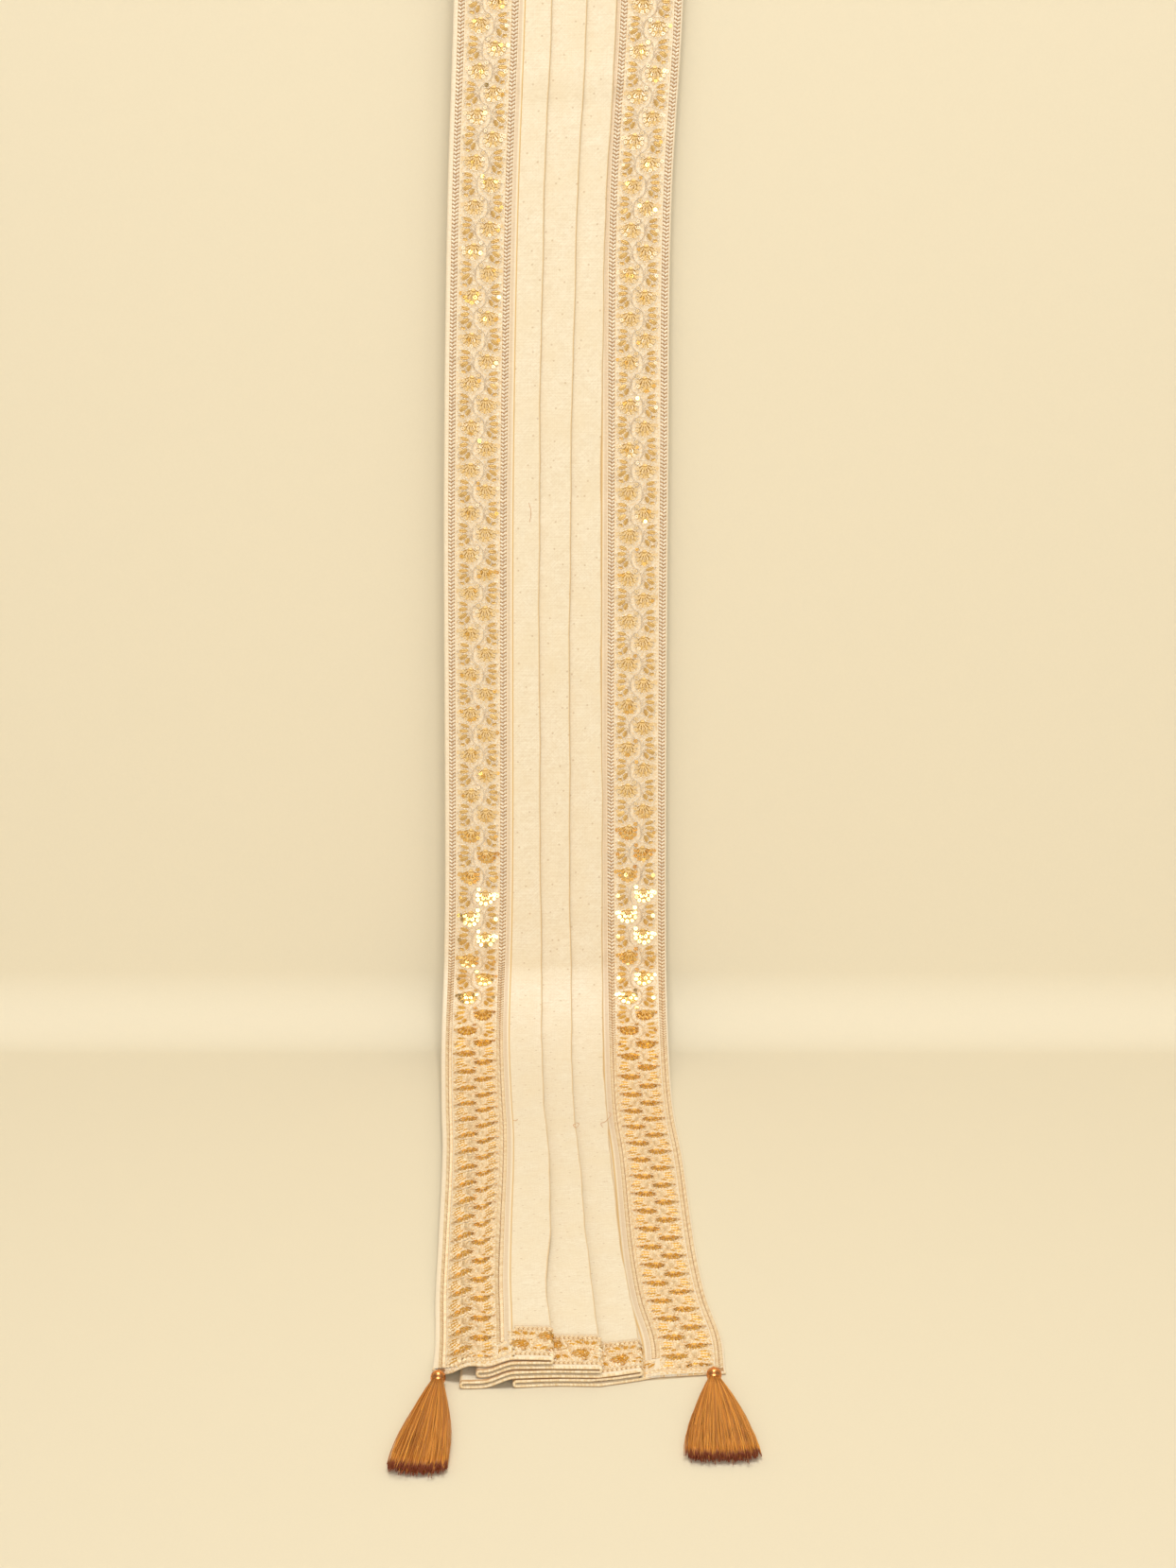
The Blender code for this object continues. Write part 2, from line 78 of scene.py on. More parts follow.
# The heading's turn from down to level, over the run from the start of the bend
BEND = np.array(
    [(0.000, 0.0), (0.020, 24.0), (0.040, 44.0), (0.060, 58.0), (0.085, 69.0),
     (0.115, 77.5), (0.150, 84.0), (0.195, 88.0), (0.250, 90.0)],
    dtype=[("run", float), ("heading", float)],
)
# At each distance up from the hem: the edges' and pleats' places across, the height of the
# stack, and how far its layers come down at the left
LAY = np.array(
    [(0.000, -0.1115, -0.0262, 0.0087, 0.0380, 0.0990, 0.0205, 1.00),
     (0.062, -0.1120, -0.0275, 0.0076, 0.0371, 0.0985, 0.0205, 1.00),
     (0.152, -0.1149, -0.0314, 0.0028, 0.0309, 0.0900, 0.0215, 0.90),
     (0.246, -0.1164, -0.0295, -0.0012, 0.0256, 0.0849, 0.0225, 0.80),
     (0.474, -0.1213, -0.0339, -0.0087, 0.0181, 0.0788, 0.0190, 0.60),
     (0.568, -0.1256, -0.0381, -0.0126, 0.0158, 0.0745, 0.0175, 0.50),
     (0.742, -0.1312, -0.0416, -0.0149, 0.0130, 0.0719, 0.0160, 0.30),
     (0.891, -0.1287, -0.0428, -0.0165, 0.0128, 0.0705, 0.0154, 0.20),
     (1.261, -0.1262, -0.0426, -0.0151, 0.0114, 0.0706, 0.0154, 0.15),
     (1.507, -0.1207, -0.0377, -0.0089, 0.0158, 0.0723, 0.0154, 0.15),
     (1.650, -0.1148, -0.0317, -0.0018, 0.0236, 0.0802, 0.0156, 0.15),
     (2.190, -0.0990, -0.0160, 0.0130, 0.0385, 0.0960, 0.0200, 0.10),
     (2.286, -0.0980, -0.0150, 0.0140, 0.0395, 0.0970, 0.0200, 0.10)],
    dtype=[("up", float), ("left", float), ("pleat_1", float), ("pleat_2", float),
           ("pleat_3", float), ("right", float), ("thick", float), ("sag", float)],
)
SOLID_WALL = 0.0010
WRONG_PITCH = 0.0018  # between layers that lie wrong side on wrong side
# Hidden folds' distances in from the left edge: at the hem, and above BACK_UP
BACK_1_IN = (0.032, 0.024)
BACK_2_IN = (0.0205, 0.015)
BACK_UP = 0.742
SAG_REACH = 0.028
SAG_IN = 0.002
# How far forward the hem of the top layer and of the lowest one lie, across the stack
HEM_LINE = np.array(
    [(-0.112, -0.015, 0.008), (-0.097, -0.008, 0.008), (-0.085, -0.006, 0.008),
     (-0.070, -0.002, 0.005), (-0.040, -0.001, 0.002), (-0.026, 0.000, 0.000),
     (0.009, 0.001, 0.001), (0.036, -0.0085, -0.0085), (0.050, -0.015, -0.015),
     (0.099, -0.021, -0.021)],
    dtype=[("across", float), ("top", float), ("lowest", float)],
)
SLIDE = (0.0, 0.4, 0.8, 1.0)  # each pair of layers' share of that difference
HEM_FADE = 0.25
CORNER_LIFT = 0.0055  # the left corner curls up
CORNER_REACH = 0.018
CORNER_UP = 0.070
LAYERS = 7
print(f"flat cloth {WIDTH} x {LENGTH} m, {WIDTH * LENGTH:.3f} square metres")

# %% [markdown]
# ## The side view
# Seen from the side, the stole is one line: straight down, round the bend, and level along the
# floor. A curve drawn by hand would stretch the cloth here and there. A heading that turns from
# 0 (down) to 90 degrees (level), added up in small equal steps, keeps the true length.

# %% The line of the underside, from the hem up
PATH_POINTS = 4001


def smooth_step(value):
    """3v^2 - 2v^3, held to 0 below 0 and to 1 above 1."""
    value = np.clip(value, 0.0, 1.0)
    return value * value * (3.0 - 2.0 * value)


def smooth_between(at, knots, values):
    """A cubic through the knots whose slope at each is the mean of its two chords' slopes."""
    chords = np.diff(values) / np.diff(knots)
    slopes = np.concatenate([chords[:1], (chords[1:] + chords[:-1]) / 2, chords[-1:]])
    at = np.clip(at, knots[0], knots[-1])
    i = np.clip(np.searchsorted(knots, at, side="right") - 1, 0, len(knots) - 2)
    gap = knots[i + 1] - knots[i]
    f = (at - knots[i]) / gap
    return (
        (1 + 2 * f) * (1 - f) ** 2 * values[i]
        + f * (1 - f) ** 2 * gap * slopes[i]
        + f * f * (3 - 2 * f) * values[i + 1]
        + f * f * (f - 1) * gap * slopes[i + 1]
    )


def underside():
    """Distance up from the hem, y, z and heading: sums of sin(heading) and cos(heading) steps."""
    hang = LENGTH - BEND["run"][-1] - FLOOR_RUN
    run = np.linspace(0.0, LENGTH, PATH_POINTS)
    heading = np.radians(np.interp(run - hang, BEND["run"], BEND["heading"]))
    step = run[1] - run[0]
    middle = (heading[1:] + heading[:-1]) / 2
    y = UNDERSIDE_Y - np.concatenate([[0.0], np.cumsum(np.sin(middle) * step)])
    z = -np.concatenate([[0.0], np.cumsum(np.cos(middle) * step)])
    return LENGTH - run[::-1], y[::-1], z[::-1], heading[::-1]


UP, PATH_Y, PATH_Z, HEADING = underside()
FLOOR = float(PATH_Z[0])

# %% [markdown]
# ## The folds
# A cut across the stole is a line that runs to and fro through seven layers. The places of the
# folds come from the table, and one hidden fold takes up what is left of the flat width. Where
# the lower layers stop short, the upper ones come down. Real silk never lies dead straight, so
# the folds also wander by less than a millimetre, and a few soft creases cross the whole stack.
# Noise could make them, but a short table puts each where a hand would have left it.

# %% Where the folds lie
FOLD_WANDER = 0.00032
CREASE_FADE = 0.02
CREASES = np.array(
    [(1.604, -0.070, 0.045, 0.00, 0.010, 0.0016), (1.588, -0.070, 0.045, 0.02, 0.008, -0.0012),
     (1.313, -0.072, -0.012, -0.32, 0.0045, 0.0013), (1.306, -0.012, 0.012, -0.75, 0.004, 0.0010),
     (1.245, -0.060, 0.040, 0.04, 0.012, -0.0010), (1.096, -0.050, 0.040, 0.06, 0.014, 0.0008),
     (0.869, -0.070, 0.040, 0.02, 0.012, 0.0009), (0.824, -0.075, 0.045, 0.00, 0.010, 0.0014),
     (0.690, -0.030, 0.020, 0.30, 0.006, 0.0005), (0.520, -0.060, 0.030, -0.05, 0.016, 0.0006),
     (0.350, -0.060, 0.010, 0.08, 0.018, 0.0007), (0.205, -0.020, 0.050, -0.10, 0.014, 0.0005),
     (1.820, -0.080, 0.050, 0.05, 0.012, 0.0012), (1.980, -0.060, 0.060, -0.06, 0.010, 0.0010),
     (2.130, -0.070, 0.050, 0.03, 0.014, -0.0011)],
    dtype=[("up", float), ("left", float), ("right", float), ("slope", float),
           ("width", float), ("depth", float)],
)


def wander(up, phase):
    """A slow uneven wave: three sines whose periods share no common multiple."""
    return FOLD_WANDER * (
        np.sin(up * 31.0 + phase) + 0.6 * np.sin(up * 73.0 + 2.1 * phase)
        + 0.3 * np.sin(up * 171.0 + 3.7 * phase)
    )


def lay_at(up):
    """The pleats' places and heights at each distance up from the hem."""
    row = {name: smooth_between(up, LAY["up"], LAY[name]) for name in LAY.dtype.names[1:]}
    for number, name in enumerate(("pleat_1", "pleat_2", "pleat_3")):
        row[name] = row[name] + wander(up, 1.0 + number)
    hem = 1.0 - smooth_step(up / BACK_UP)
    row["back_1"] = row["left"] + BACK_1_IN[1] + (BACK_1_IN[0] - BACK_1_IN[1]) * hem
    row["back_2"] = row["left"] + BACK_2_IN[1] + (BACK_2_IN[0] - BACK_2_IN[1]) * hem
    row["face_pitch"] = (row["thick"] - SOLID_WALL) / 3 - WRONG_PITCH
    # What the six half circles add to the flat width, and so what is left for the last fold
    rounds = (math.pi - 2) / 2 * 3 * (WRONG_PITCH + row["face_pitch"])
    shown = 2 * (row["pleat_1"] + row["pleat_2"] + row["pleat_3"]) + row["right"] - row["left"]
    row["back_3"] = (shown - (WIDTH - rounds)) / 2 - row["back_1"] - row["back_2"]
    return row


def sag_zones(row):
    """From where to where the layers come down, over the lowest pair and over the upper two."""
    sag_to = np.minimum(row["back_3"], row["left"] + BORDER - 2 * SAG_IN) + SAG_IN
    lowest = (np.maximum(sag_to - SAG_REACH, row["back_1"] + 2 * SAG_IN), sag_to)
    return lowest, (row["left"], row["back_1"] - SAG_IN)


def drop(x, pairs, row):
    """How far a layer with this many pairs of layers below it has come down at x."""
    lowest, upper = sag_zones(row)
    pair = ((WRONG_PITCH + row["face_pitch"]) * row["sag"])[:, None]
    low, high = lowest[0][:, None], lowest[1][:, None]
    down = pair * (1.0 - smooth_step((x - low) / (high - low))) * (pairs > 0)
    left, right = upper[0][:, None], upper[1][:, None]
    over = 1.0 - smooth_step((x - left) / (right - left))
    return down + (2 * pair * over if pairs == 3 else 0.0)


def crease(x, up):
    """The height that the soft creases add: a bell across each one, faded out at its two ends."""
    total = np.zeros_like(x)
    for row in CREASES:
        middle = (row["left"] + row["right"]) / 2
        off = up[:, None] - row["up"] - row["slope"] * (x - middle)
        ends = (smooth_step((x - row["left"]) / CREASE_FADE)
                * smooth_step((row["right"] - x) / CREASE_FADE))
        total += row["depth"] * np.exp(-((off / row["width"]) ** 2)) * ends
    return total


print(f"{len(CREASES)} soft creases, the widest {CREASES['width'].max() * 1000:.0f} mm")

# %% [markdown]
# ## The section
# The whole cut line is worked out for many distances up at once: seven straight runs, each with
# its own height, and a half circle between each two. Moving the line out at right angles gives
# the cloth's two faces, the strips that lie on it and every stitch on those, so nothing that
# lies on the cloth has to be fitted to it afterwards.

# %% The folded line, moved out and placed in space
FOLD_CUTS = 6


def unit(vectors):
    """Vectors divided by their own lengths."""
    vectors = np.asarray(vectors, float)
    return vectors / np.linalg.norm(vectors, axis=-1, keepdims=True)


def run_along(points):
    """Distances along lines of points, from 0."""
    steps = np.linalg.norm(np.diff(points, axis=-2), axis=-1)
    return np.concatenate([np.zeros((*steps.shape[:-1], 1)), np.cumsum(steps, axis=-1)], axis=-1)


def spread(first, last, count):
    """Evenly spaced values from first to last, a row for each distance up."""
    return first[:, None] + (last - first)[:, None] * np.linspace(0.0, 1.0, count)


def layer_points(layer, first, last, row):
    """The x of a layer's points from first to last, closest where it comes down."""
    (low, high), (_, upper) = sag_zones(row)
    if layer == 0:
        parts = [spread(first, upper, 9), spread(upper, low, 3)[:, 1:],
                 spread(low, high, 8)[:, 1:], spread(high, last, 8)[:, 1:]]
    elif layer < 5:
        left, right = (last, first) if layer % 2 else (first, last)
        parts = [spread(left, low, 3), spread(low, high, 8)[:, 1:], spread(high, right, 7)[:, 1:]]
    else:
        parts = [spread(first, last, 6 if layer == 5 else 16)]
    points = np.concatenate(parts, axis=1)
    return points[:, ::-1] if layer in (1, 3) else points


def section(up):
    """Rows of (x, height over the underside, distance forward), through all layers and folds."""
    row = lay_at(up)
    wrong, face, none = np.full_like(up, WRONG_PITCH / 2), row["face_pitch"] / 2, 0.0 * up
    stops = [row["left"], row["pleat_1"], row["back_1"], row["pleat_2"], row["back_2"],
             row["pleat_3"], row["back_3"], row["right"]]
    radii = [none, wrong, face, wrong, face, wrong, face, none]
    height = row["thick"] - SOLID_WALL / 2
    turn = np.linspace(0.0, math.pi, FOLD_CUTS + 1)[1:-1]
    fade = (1.0 - smooth_step(up / HEM_FADE))[:, None]
    xs, heights, forwards, folds = [], [], [], []
    for layer in range(LAYERS):
        way = 1 if layer % 2 == 0 else -1
        radius = radii[layer + 1]
        first = stops[layer] + way * radii[layer]
        last = stops[layer + 1] - way * radius
        x = layer_points(layer, first, last, row)
        h = height[:, None] - drop(x, (LAYERS - layer) // 2, row)
        fold = np.zeros(x.shape[1])
        if layer == 0:
            edge = np.clip(1.0 - (x - row["left"][:, None]) / CORNER_REACH, 0.0, 1.0) ** 2
            h = h + CORNER_LIFT * edge * (np.maximum(0.0, 1.0 - up / CORNER_UP) ** 2)[:, None]
        if layer < LAYERS - 1:
            round_x = last[:, None] + way * radius[:, None] * np.sin(turn)
            arc = (height - radius)[:, None] + radius[:, None] * np.cos(turn)
            arc = arc - drop(round_x, (LAYERS - 1 - layer) // 2, row)
            x, h = np.concatenate([x, round_x], axis=1), np.concatenate([h, arc], axis=1)
            fold = np.concatenate([fold, np.sin(turn)])
        top = np.interp(x, HEM_LINE["across"], HEM_LINE["top"])
        lowest = np.interp(x, HEM_LINE["across"], HEM_LINE["lowest"])
        xs.append(x)
        heights.append(h + crease(x, up))
        forwards.append((top + (lowest - top) * SLIDE[(layer + 1) // 2]) * fade)
        folds.append(fold)
        height = height - 2 * radius
    line = [np.concatenate(part, axis=1) for part in (xs, heights, forwards)]
    return np.stack(line, axis=2), np.concatenate(folds)


def normals(line):
    """The line's own right angles, towards the cloth's face, as (x, height) pairs."""
    run = unit(np.diff(line[..., :2], axis=1))
    side = np.stack([-run[..., 1], run[..., 0]], axis=2)
    before = np.concatenate([side[:, :1], side], axis=1)
    after = np.concatenate([side, side[:, -1:]], axis=1)
    mean = before + after
    return mean / (mean * before).sum(axis=2, keepdims=True)


def placed(line, up):
    """(x, height, forward) as x, y, z: along the side view's line and out along its normal."""
    y, z, heading = (np.interp(up, UP, part)[:, None] for part in (PATH_Y, PATH_Z, HEADING))
    return np.stack(
        [line[..., 0],
         y - line[..., 2] - line[..., 1] * np.cos(heading),
         z + line[..., 1] * np.sin(heading)],
        axis=2,
    )


def moved_out(line, distance):
    """The line plus its normals times the distance."""
    out = line.copy()
    out[..., :2] += normals(line) * distance
    return out


test_line, _ = section(np.linspace(0.0, LENGTH, 5))
flat_widths = run_along(test_line[..., :2])[:, -1] * 1000
print("flat width along five sections, mm:", np.round(flat_widths, 1).tolist())

# %% [markdown]
# ## Meshes from arrays
# Every piece ends as two arrays, points and faces. One function turns them into a mesh that
# moves with the frame. A piece may carry a flat map (how far across and up the cloth, in metres)
# and a tone, one number for each point that its material uses to vary stitch from stitch and to
# paint shade and highlights on folds and stitches.

# %% Mesh helpers
def circle(count):
    """Even angles once round."""
    return np.linspace(0.0, 2 * math.pi, count, endpoint=False)


def grid_faces(rows, columns, wrap=False):
    """The quads of a grid of points stored row by row. wrap joins the last column to the first."""
    r = np.arange(rows - 1)[:, None] * columns
    c = np.arange(columns if wrap else columns - 1)[None]
    next_c = (c + 1) % columns
    quads = np.stack([r + c, r + next_c, r + columns + next_c, r + columns + c], axis=2)
    return quads.reshape(-1, 4)


def tube_faces(rings, sides):
    """The quads of a tube stored ring by ring, and the two faces that close its ends."""
    ends = np.stack([np.arange(sides)[::-1], np.arange(sides) + (rings - 1) * sides])
    return grid_faces(rings, sides, wrap=True), ends


def piece(name, points, faces, material, flat=None, tone=None, sharp=40):
    """A mesh object from points and a list of face arrays, each with one number of corners."""
    points = np.asarray(points, float).reshape(-1, 3)
    corners = np.concatenate([f.ravel() for f in faces])
    sizes = np.concatenate([np.full(len(f), f.shape[1]) for f in faces])
    starts = np.concatenate([[0], np.cumsum(sizes)[:-1]])
    mesh = bpy.data.meshes.new(name)
    mesh.vertices.add(len(points))
    mesh.vertices.foreach_set("co", points.ravel().astype(np.float32))
    mesh.loops.add(len(corners))
    mesh.loops.foreach_set("vertex_index", corners.astype(np.int32))
    mesh.polygons.add(len(sizes))
    mesh.polygons.foreach_set("loop_start", starts.astype(np.int32))
    if flat is not None:
        layer = mesh.uv_layers.new(name="flat")
        flat = np.asarray(flat, float).reshape(-1, 2)
        layer.data.foreach_set("uv", flat[corners].ravel().astype(np.float32))
    if tone is not None:
        kept = mesh.attributes.new("tone", "FLOAT", "POINT")
        kept.data.foreach_set("value", np.asarray(tone, float).ravel().astype(np.float32))
    mesh.update(calc_edges=True)
    mesh.validate()
    mesh.shade_smooth()
    if sharp:
        mesh.set_sharp_from_angle(angle=math.radians(sharp))
    mesh.materials.append(material)
    made = bpy.data.objects.new(name, mesh)
    bpy.context.scene.collection.objects.link(made)
    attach(made, "root")
    print(f"{name}: {len(points)} points, {int((sizes - 2).sum())} triangles")
    return made


# %% [markdown]
# ## Shader sums as Python
# A material's arithmetic is easier to read as an expression than as a web of nodes. The class
# wraps one socket. Adding or multiplying two of them adds the Math node that does it, and one
# method makes any other node.

# %% One wrapper for shader sockets
class Wire:
    """One output of a node tree. Sums of wires are wires."""

    def __init__(self, tree, socket=None):
        self.tree = tree
        self.socket = socket

    def node(self, kind, settings=(), values=(), output=0):
        """Adds a node: its settings first, then a value or a wire for each socket named."""
        made = self.tree.nodes.new(kind)
        for name, value in dict(settings).items():
            setattr(made, name, value)
        for name, value in dict(values).items():
            if isinstance(value, Wire):
                self.tree.links.new(value.socket, made.inputs[name])
            else:
                made.inputs[name].default_value = value
        return Wire(self.tree, made.outputs[output])

    def maths(self, operation, second=0.0, first=None):
        """A Math node on the wire and a second value, or on a first one and the wire."""
        first = self if first is None else first
        return self.node("ShaderNodeMath", {"operation": operation}, {0: first, 1: second})

    def __add__(self, other):
        return self.maths("ADD", other)

    def __sub__(self, other):
        return self.maths("SUBTRACT", other)

    def __rsub__(self, other):
        return self.maths("SUBTRACT", self, other)

    def __mul__(self, other):
        return self.maths("MULTIPLY", other)

    __radd__ = __add__
    __rmul__ = __mul__

    def limited(self, low, high):
        """0 at low, 1 at high, a straight line between."""
        return self.node("ShaderNodeMapRange", {"clamp": True},
                         {"Value": self, "From Min": low, "From Max": high})

    def band(self, middle, half):
        """1 within half of the middle, 0 outside."""
        return (self - middle).maths("ABSOLUTE").maths("LESS_THAN", half)

    def mixed(self, first, second):
        """A colour from first to second, as the wire goes from 0 to 1."""
        return self.node("ShaderNodeMix", {"data_type": "RGBA"}, {0: self, 6: first, 7: second}, 2)

    def flat_map(self):
        """The piece's flat map: across and up the cloth, in metres."""
        return self.node("ShaderNodeUVMap", {"uv_map": "flat"})

    def tone(self):
        """The piece's own number for each point."""
        return self.node("ShaderNodeAttribute", {"attribute_name": "tone"}, (), 2)

    def part(self, number):
        """One of a vector's three numbers."""
        return self.node("ShaderNodeSeparateXYZ", {}, {"Vector": self}, number)

    def scaled(self, across, up, degrees=0.0):
        """The flat map turned, with its two distances multiplied."""
        rotation = (0.0, 0.0, math.radians(degrees))
        turn = self.node("ShaderNodeMapping", {}, {"Vector": self, "Rotation": rotation})
        return self.node("ShaderNodeMapping", {}, {"Vector": turn, "Scale": (across, up, 1.0)})

    def noise(self, scale=1.0, detail=2.0):
        """Soft noise of this many spots to a metre of the vector."""
        return self.node("ShaderNodeTexNoise", {},
                         {"Vector": self, "Scale": scale, "Detail": detail})

    def bump(self, strength, distance):
        """The wire as a height in metres, as a normal."""
        return self.node("ShaderNodeBump", {},
                         {"Height": self, "Strength": strength, "Distance": distance})


def rgb(red, green, blue):
    """A colour as a picture editor gives it, 0 to 255, as the linear light that a shader takes."""
    share = np.array([red, green, blue]) / 255
    linear = np.where(share <= 0.04045, share / 12.92, ((share + 0.055) / 1.055) ** 2.4)
    return (*linear.tolist(), 1.0)


def start(name):
    """A new material, and a wire to build its nodes from."""
    material = bpy.data.materials.new(name)
    material.use_nodes = True
    return material, Wire(material.node_tree)


def finish(material, wires=(), values=()):
    """Links what varies, and sets what doesn't, on the material's main shader."""
    shader = material.node_tree.nodes["Principled BSDF"]
    for name, wire in dict(wires).items():
        material.node_tree.links.new(wire.socket, shader.inputs[name])
    for name, value in dict(values).items():
        shader.inputs[name].default_value = value
    return material


print("cream is", np.round(rgb(246, 226, 188), 3).tolist())

# %% [markdown]
# ## The silks
# The centre is a raw silk: a plain weave with slubs, short thick places in the thread, which
# show as faint level dashes, and a few brown specks of bark. The borders' ground is a whiter,
# closer satin. A picture of cloth could be wrapped round the pieces, but noise that is stretched
# along the threads never repeats, and on the flat map it bends and folds with the cloth.

# %% Colours and places of the silks
SILK_LIGHT = rgb(235, 224, 200)
SILK_SHADE = rgb(222, 205, 175)
SILK_WARM = rgb(227, 210, 177)
SILK_SPECK = rgb(172, 128, 74)
# painted shade on the folds' turns and along the strip's turned edge
FOLD_SHADE = rgb(218, 178, 108)
# painted shade in a band along the hem end of the cloth
HEM_SHADE = rgb(186, 132, 66)
HEM_SHADE_HALF = 0.0030
ROLL_LIGHT = rgb(236, 218, 184)
ROLL_SHADE = rgb(218, 190, 142)
SATIN_LIGHT = rgb(238, 224, 198)
SATIN_SHADE = rgb(226, 208, 178)
# painted shade under the braids and beside the inner one
TAN_SHADE = rgb(176, 130, 78)
FINE_STITCH = rgb(214, 166, 84)
# Distances from the stole's edge, on the border: the two braids, a band of painted shade beside
# the inner one, and the field
BRAID_OUT = 0.0070
BRAID_IN = 0.0526
BRAID_SHADE_HALF = 0.0029
SHADE_BAND_OUT, SHADE_BAND_HALF = 0.0575, 0.0014
TURNED_OUT, TURNED_HALF = BORDER - 0.0010, 0.0007
FIELD_MIDDLE, FIELD_HALF = 0.0302, 0.0195
BRAID_STOP = 0.031  # the inner braid ends this far from the hem and the top
print(f"field of the border {2000 * FIELD_HALF:.0f} mm wide")


# %% Cream silk and ivory satin
def cream_silk():
    """Plain weave with slubs, warm clouds and specks; painted shade at the folds and the hem."""
    material, wire = start("cream_silk")
    flat = wire.flat_map()
    slub = flat.scaled(60.0, 800.0).noise(1.0, 3.0)
    warp = flat.scaled(1300.0, 60.0).noise(1.0, 2.0)
    twill = flat.scaled(900.0, 90.0, 45.0).noise(1.0, 1.0)
    crossed = flat.scaled(900.0, 90.0, -45.0).noise(1.0, 1.0)
    cloudy = flat.scaled(30.0, 24.0).noise(1.0, 3.0)
    weave = slub * 0.35 + warp * 0.2 + twill * 0.25 + crossed * 0.2
    ground = weave.limited(0.40, 0.60).mixed(SILK_SHADE, SILK_LIGHT)
    ground = (cloudy.limited(0.40, 0.70) * 0.5).mixed(ground, SILK_WARM)
    speck = flat.node("ShaderNodeTexVoronoi", {"voronoi_dimensions": "2D"},
                      {"Vector": flat, "Scale": 48.0, "Randomness": 1.0})
    near = 1.0 - speck.limited(0.025, 0.055)
    ground = (near * 0.4).mixed(ground, SILK_SPECK)
    # Painted shade on each fold's turn, from the tone
    ground = (wire.tone() * 0.8).mixed(ground, FOLD_SHADE)
    # Painted shade in a band along the hem
    ground = (flat.part(1).band(0.0, HEM_SHADE_HALF) * 0.8).mixed(ground, HEM_SHADE)
    return finish(
        material,
        {"Base Color": ground, "Normal": (weave + near * 0.3).bump(0.35, 0.0003),
         "Roughness": weave * 0.15 + 0.52},
        {"Sheen Weight": 0.15, "Sheen Roughness": 0.4, "Specular IOR Level": 0.3},
    )


def ivory_satin():
    """The satin, with painted shade under the braids, beside the inner one and on the turned edge.
    """
    material, wire = start("ivory_satin")
    flat = wire.flat_map()
    out, along = flat.part(0), flat.part(1)
    ribs = flat.scaled(200.0, 1600.0).noise(1.0, 2.0)
    pucker = flat.scaled(260.0, 260.0).noise(1.0, 3.0)
    ground = ribs.limited(0.3, 0.7).mixed(SATIN_SHADE, SATIN_LIGHT)
    inner = out.band(BRAID_IN, BRAID_SHADE_HALF) * along.band(LENGTH / 2, LENGTH / 2 - BRAID_STOP)
    # Painted shade under each braid, seen between its stitches
    ground = ((out.band(BRAID_OUT, BRAID_SHADE_HALF) + inner) * 0.95).mixed(ground, TAN_SHADE)
    # A band of painted shade beside the inner braid
    ground = (out.band(SHADE_BAND_OUT, SHADE_BAND_HALF) * 0.30).mixed(ground, TAN_SHADE)
    # Stitches too fine to model, closer on the floor, where they are seen at a low angle
    fine = flat.scaled(520.0, 620.0, 25.0).noise(1.0, 2.0).limited(0.46, 0.60)
    laid = 1.0 - along.limited(0.66, 0.86)
    fine = fine * out.band(FIELD_MIDDLE, FIELD_HALF) * (laid * 0.50 + 0.45)
    ground = fine.mixed(ground, FINE_STITCH)
    # Painted shade along the strip's turned inner edge
    ground = (out.band(TURNED_OUT, TURNED_HALF) * 0.8).mixed(ground, FOLD_SHADE)
    return finish(
        material,
        {"Base Color": ground, "Normal": (ribs * 0.4 + pucker).bump(0.5, 0.0005),
         "Roughness": ribs * 0.2 + 0.45},
        {"Sheen Weight": 0.2, "Sheen Roughness": 0.35, "Specular IOR Level": 0.35},
    )


def rolled_edge():
    """The satin turned under, with the hemming stitches as fine slanted ribs."""
    material, wire = start("rolled_edge")
    ribs = wire.flat_map().scaled(700.0, 300.0, 30.0).noise(1.0, 2.0)
    ground = ribs.limited(0.40, 0.62).mixed(ROLL_SHADE, ROLL_LIGHT)
    return finish(material, {"Base Color": ground, "Normal": ribs.bump(0.8, 0.0006)},
                  {"Roughness": 0.6, "Sheen Weight": 0.1})


CREAM_SILK = cream_silk()
ROLLED_EDGE = rolled_edge()
IVORY_SATIN = ivory_satin()
print("silks:", CREAM_SILK.name, ROLLED_EDGE.name, IVORY_SATIN.name)

# %% [markdown]
# ## The threads
# A pale metal cord makes the outlines and braids, a yellow gold thread the petals and leaves, and
# the sequins are pressed gold foil. The tassels are thick floss of golden-brown silk with painted
# shade at the cut ends, hung from turned copper beads. One plain metal would look like paint: a
# twist in the normal and a tone for each stitch make it glint like thread, and the tone and the
# twist also paint shade and highlights on the threads.

# %% Threads, sequins, floss and copper
def metal_thread(name, laid, hung, metallic, roughness):
    """A thread whose colour goes from dark to light with its tone, under a fine twist.

    Its dark and light ends are those of the thread laid on the floor, and further up a side
    border those of the hung thread; the thread is the same, and the difference is painted
    reflected light."""
    material, wire = start(name)
    flat = wire.flat_map()
    twist = wire.node("ShaderNodeTexWave", {"bands_direction": "DIAGONAL"},
                      {"Vector": flat, "Scale": 420.0, "Distortion": 2.0})
    high = flat.part(1).limited(0.70, 0.90)
    dark, light = (high.mixed(first, last) for first, last in zip(laid, hung))
    # The twist lightens the colour on its crests: painted highlight
    colour = (wire.tone() * 0.7 + twist * 0.3).mixed(dark, light)
    return finish(
        material,
        {"Base Color": colour, "Normal": twist.bump(0.5, 0.0002)},
        {"Metallic": metallic, "Roughness": roughness},
    )


def sequin_foil():
    """Pressed foil: bright metal where the tone is low; where it is high, a flat pale painted
    reflection.
    """
    material, wire = start("sequin_gold")
    tone = wire.tone()
    colour = tone.mixed(rgb(236, 188, 104), rgb(228, 200, 152))
    return finish(material, {"Base Color": colour, "Metallic": 1.0 - tone.limited(0.50, 0.70)},
                  {"Roughness": 0.13})


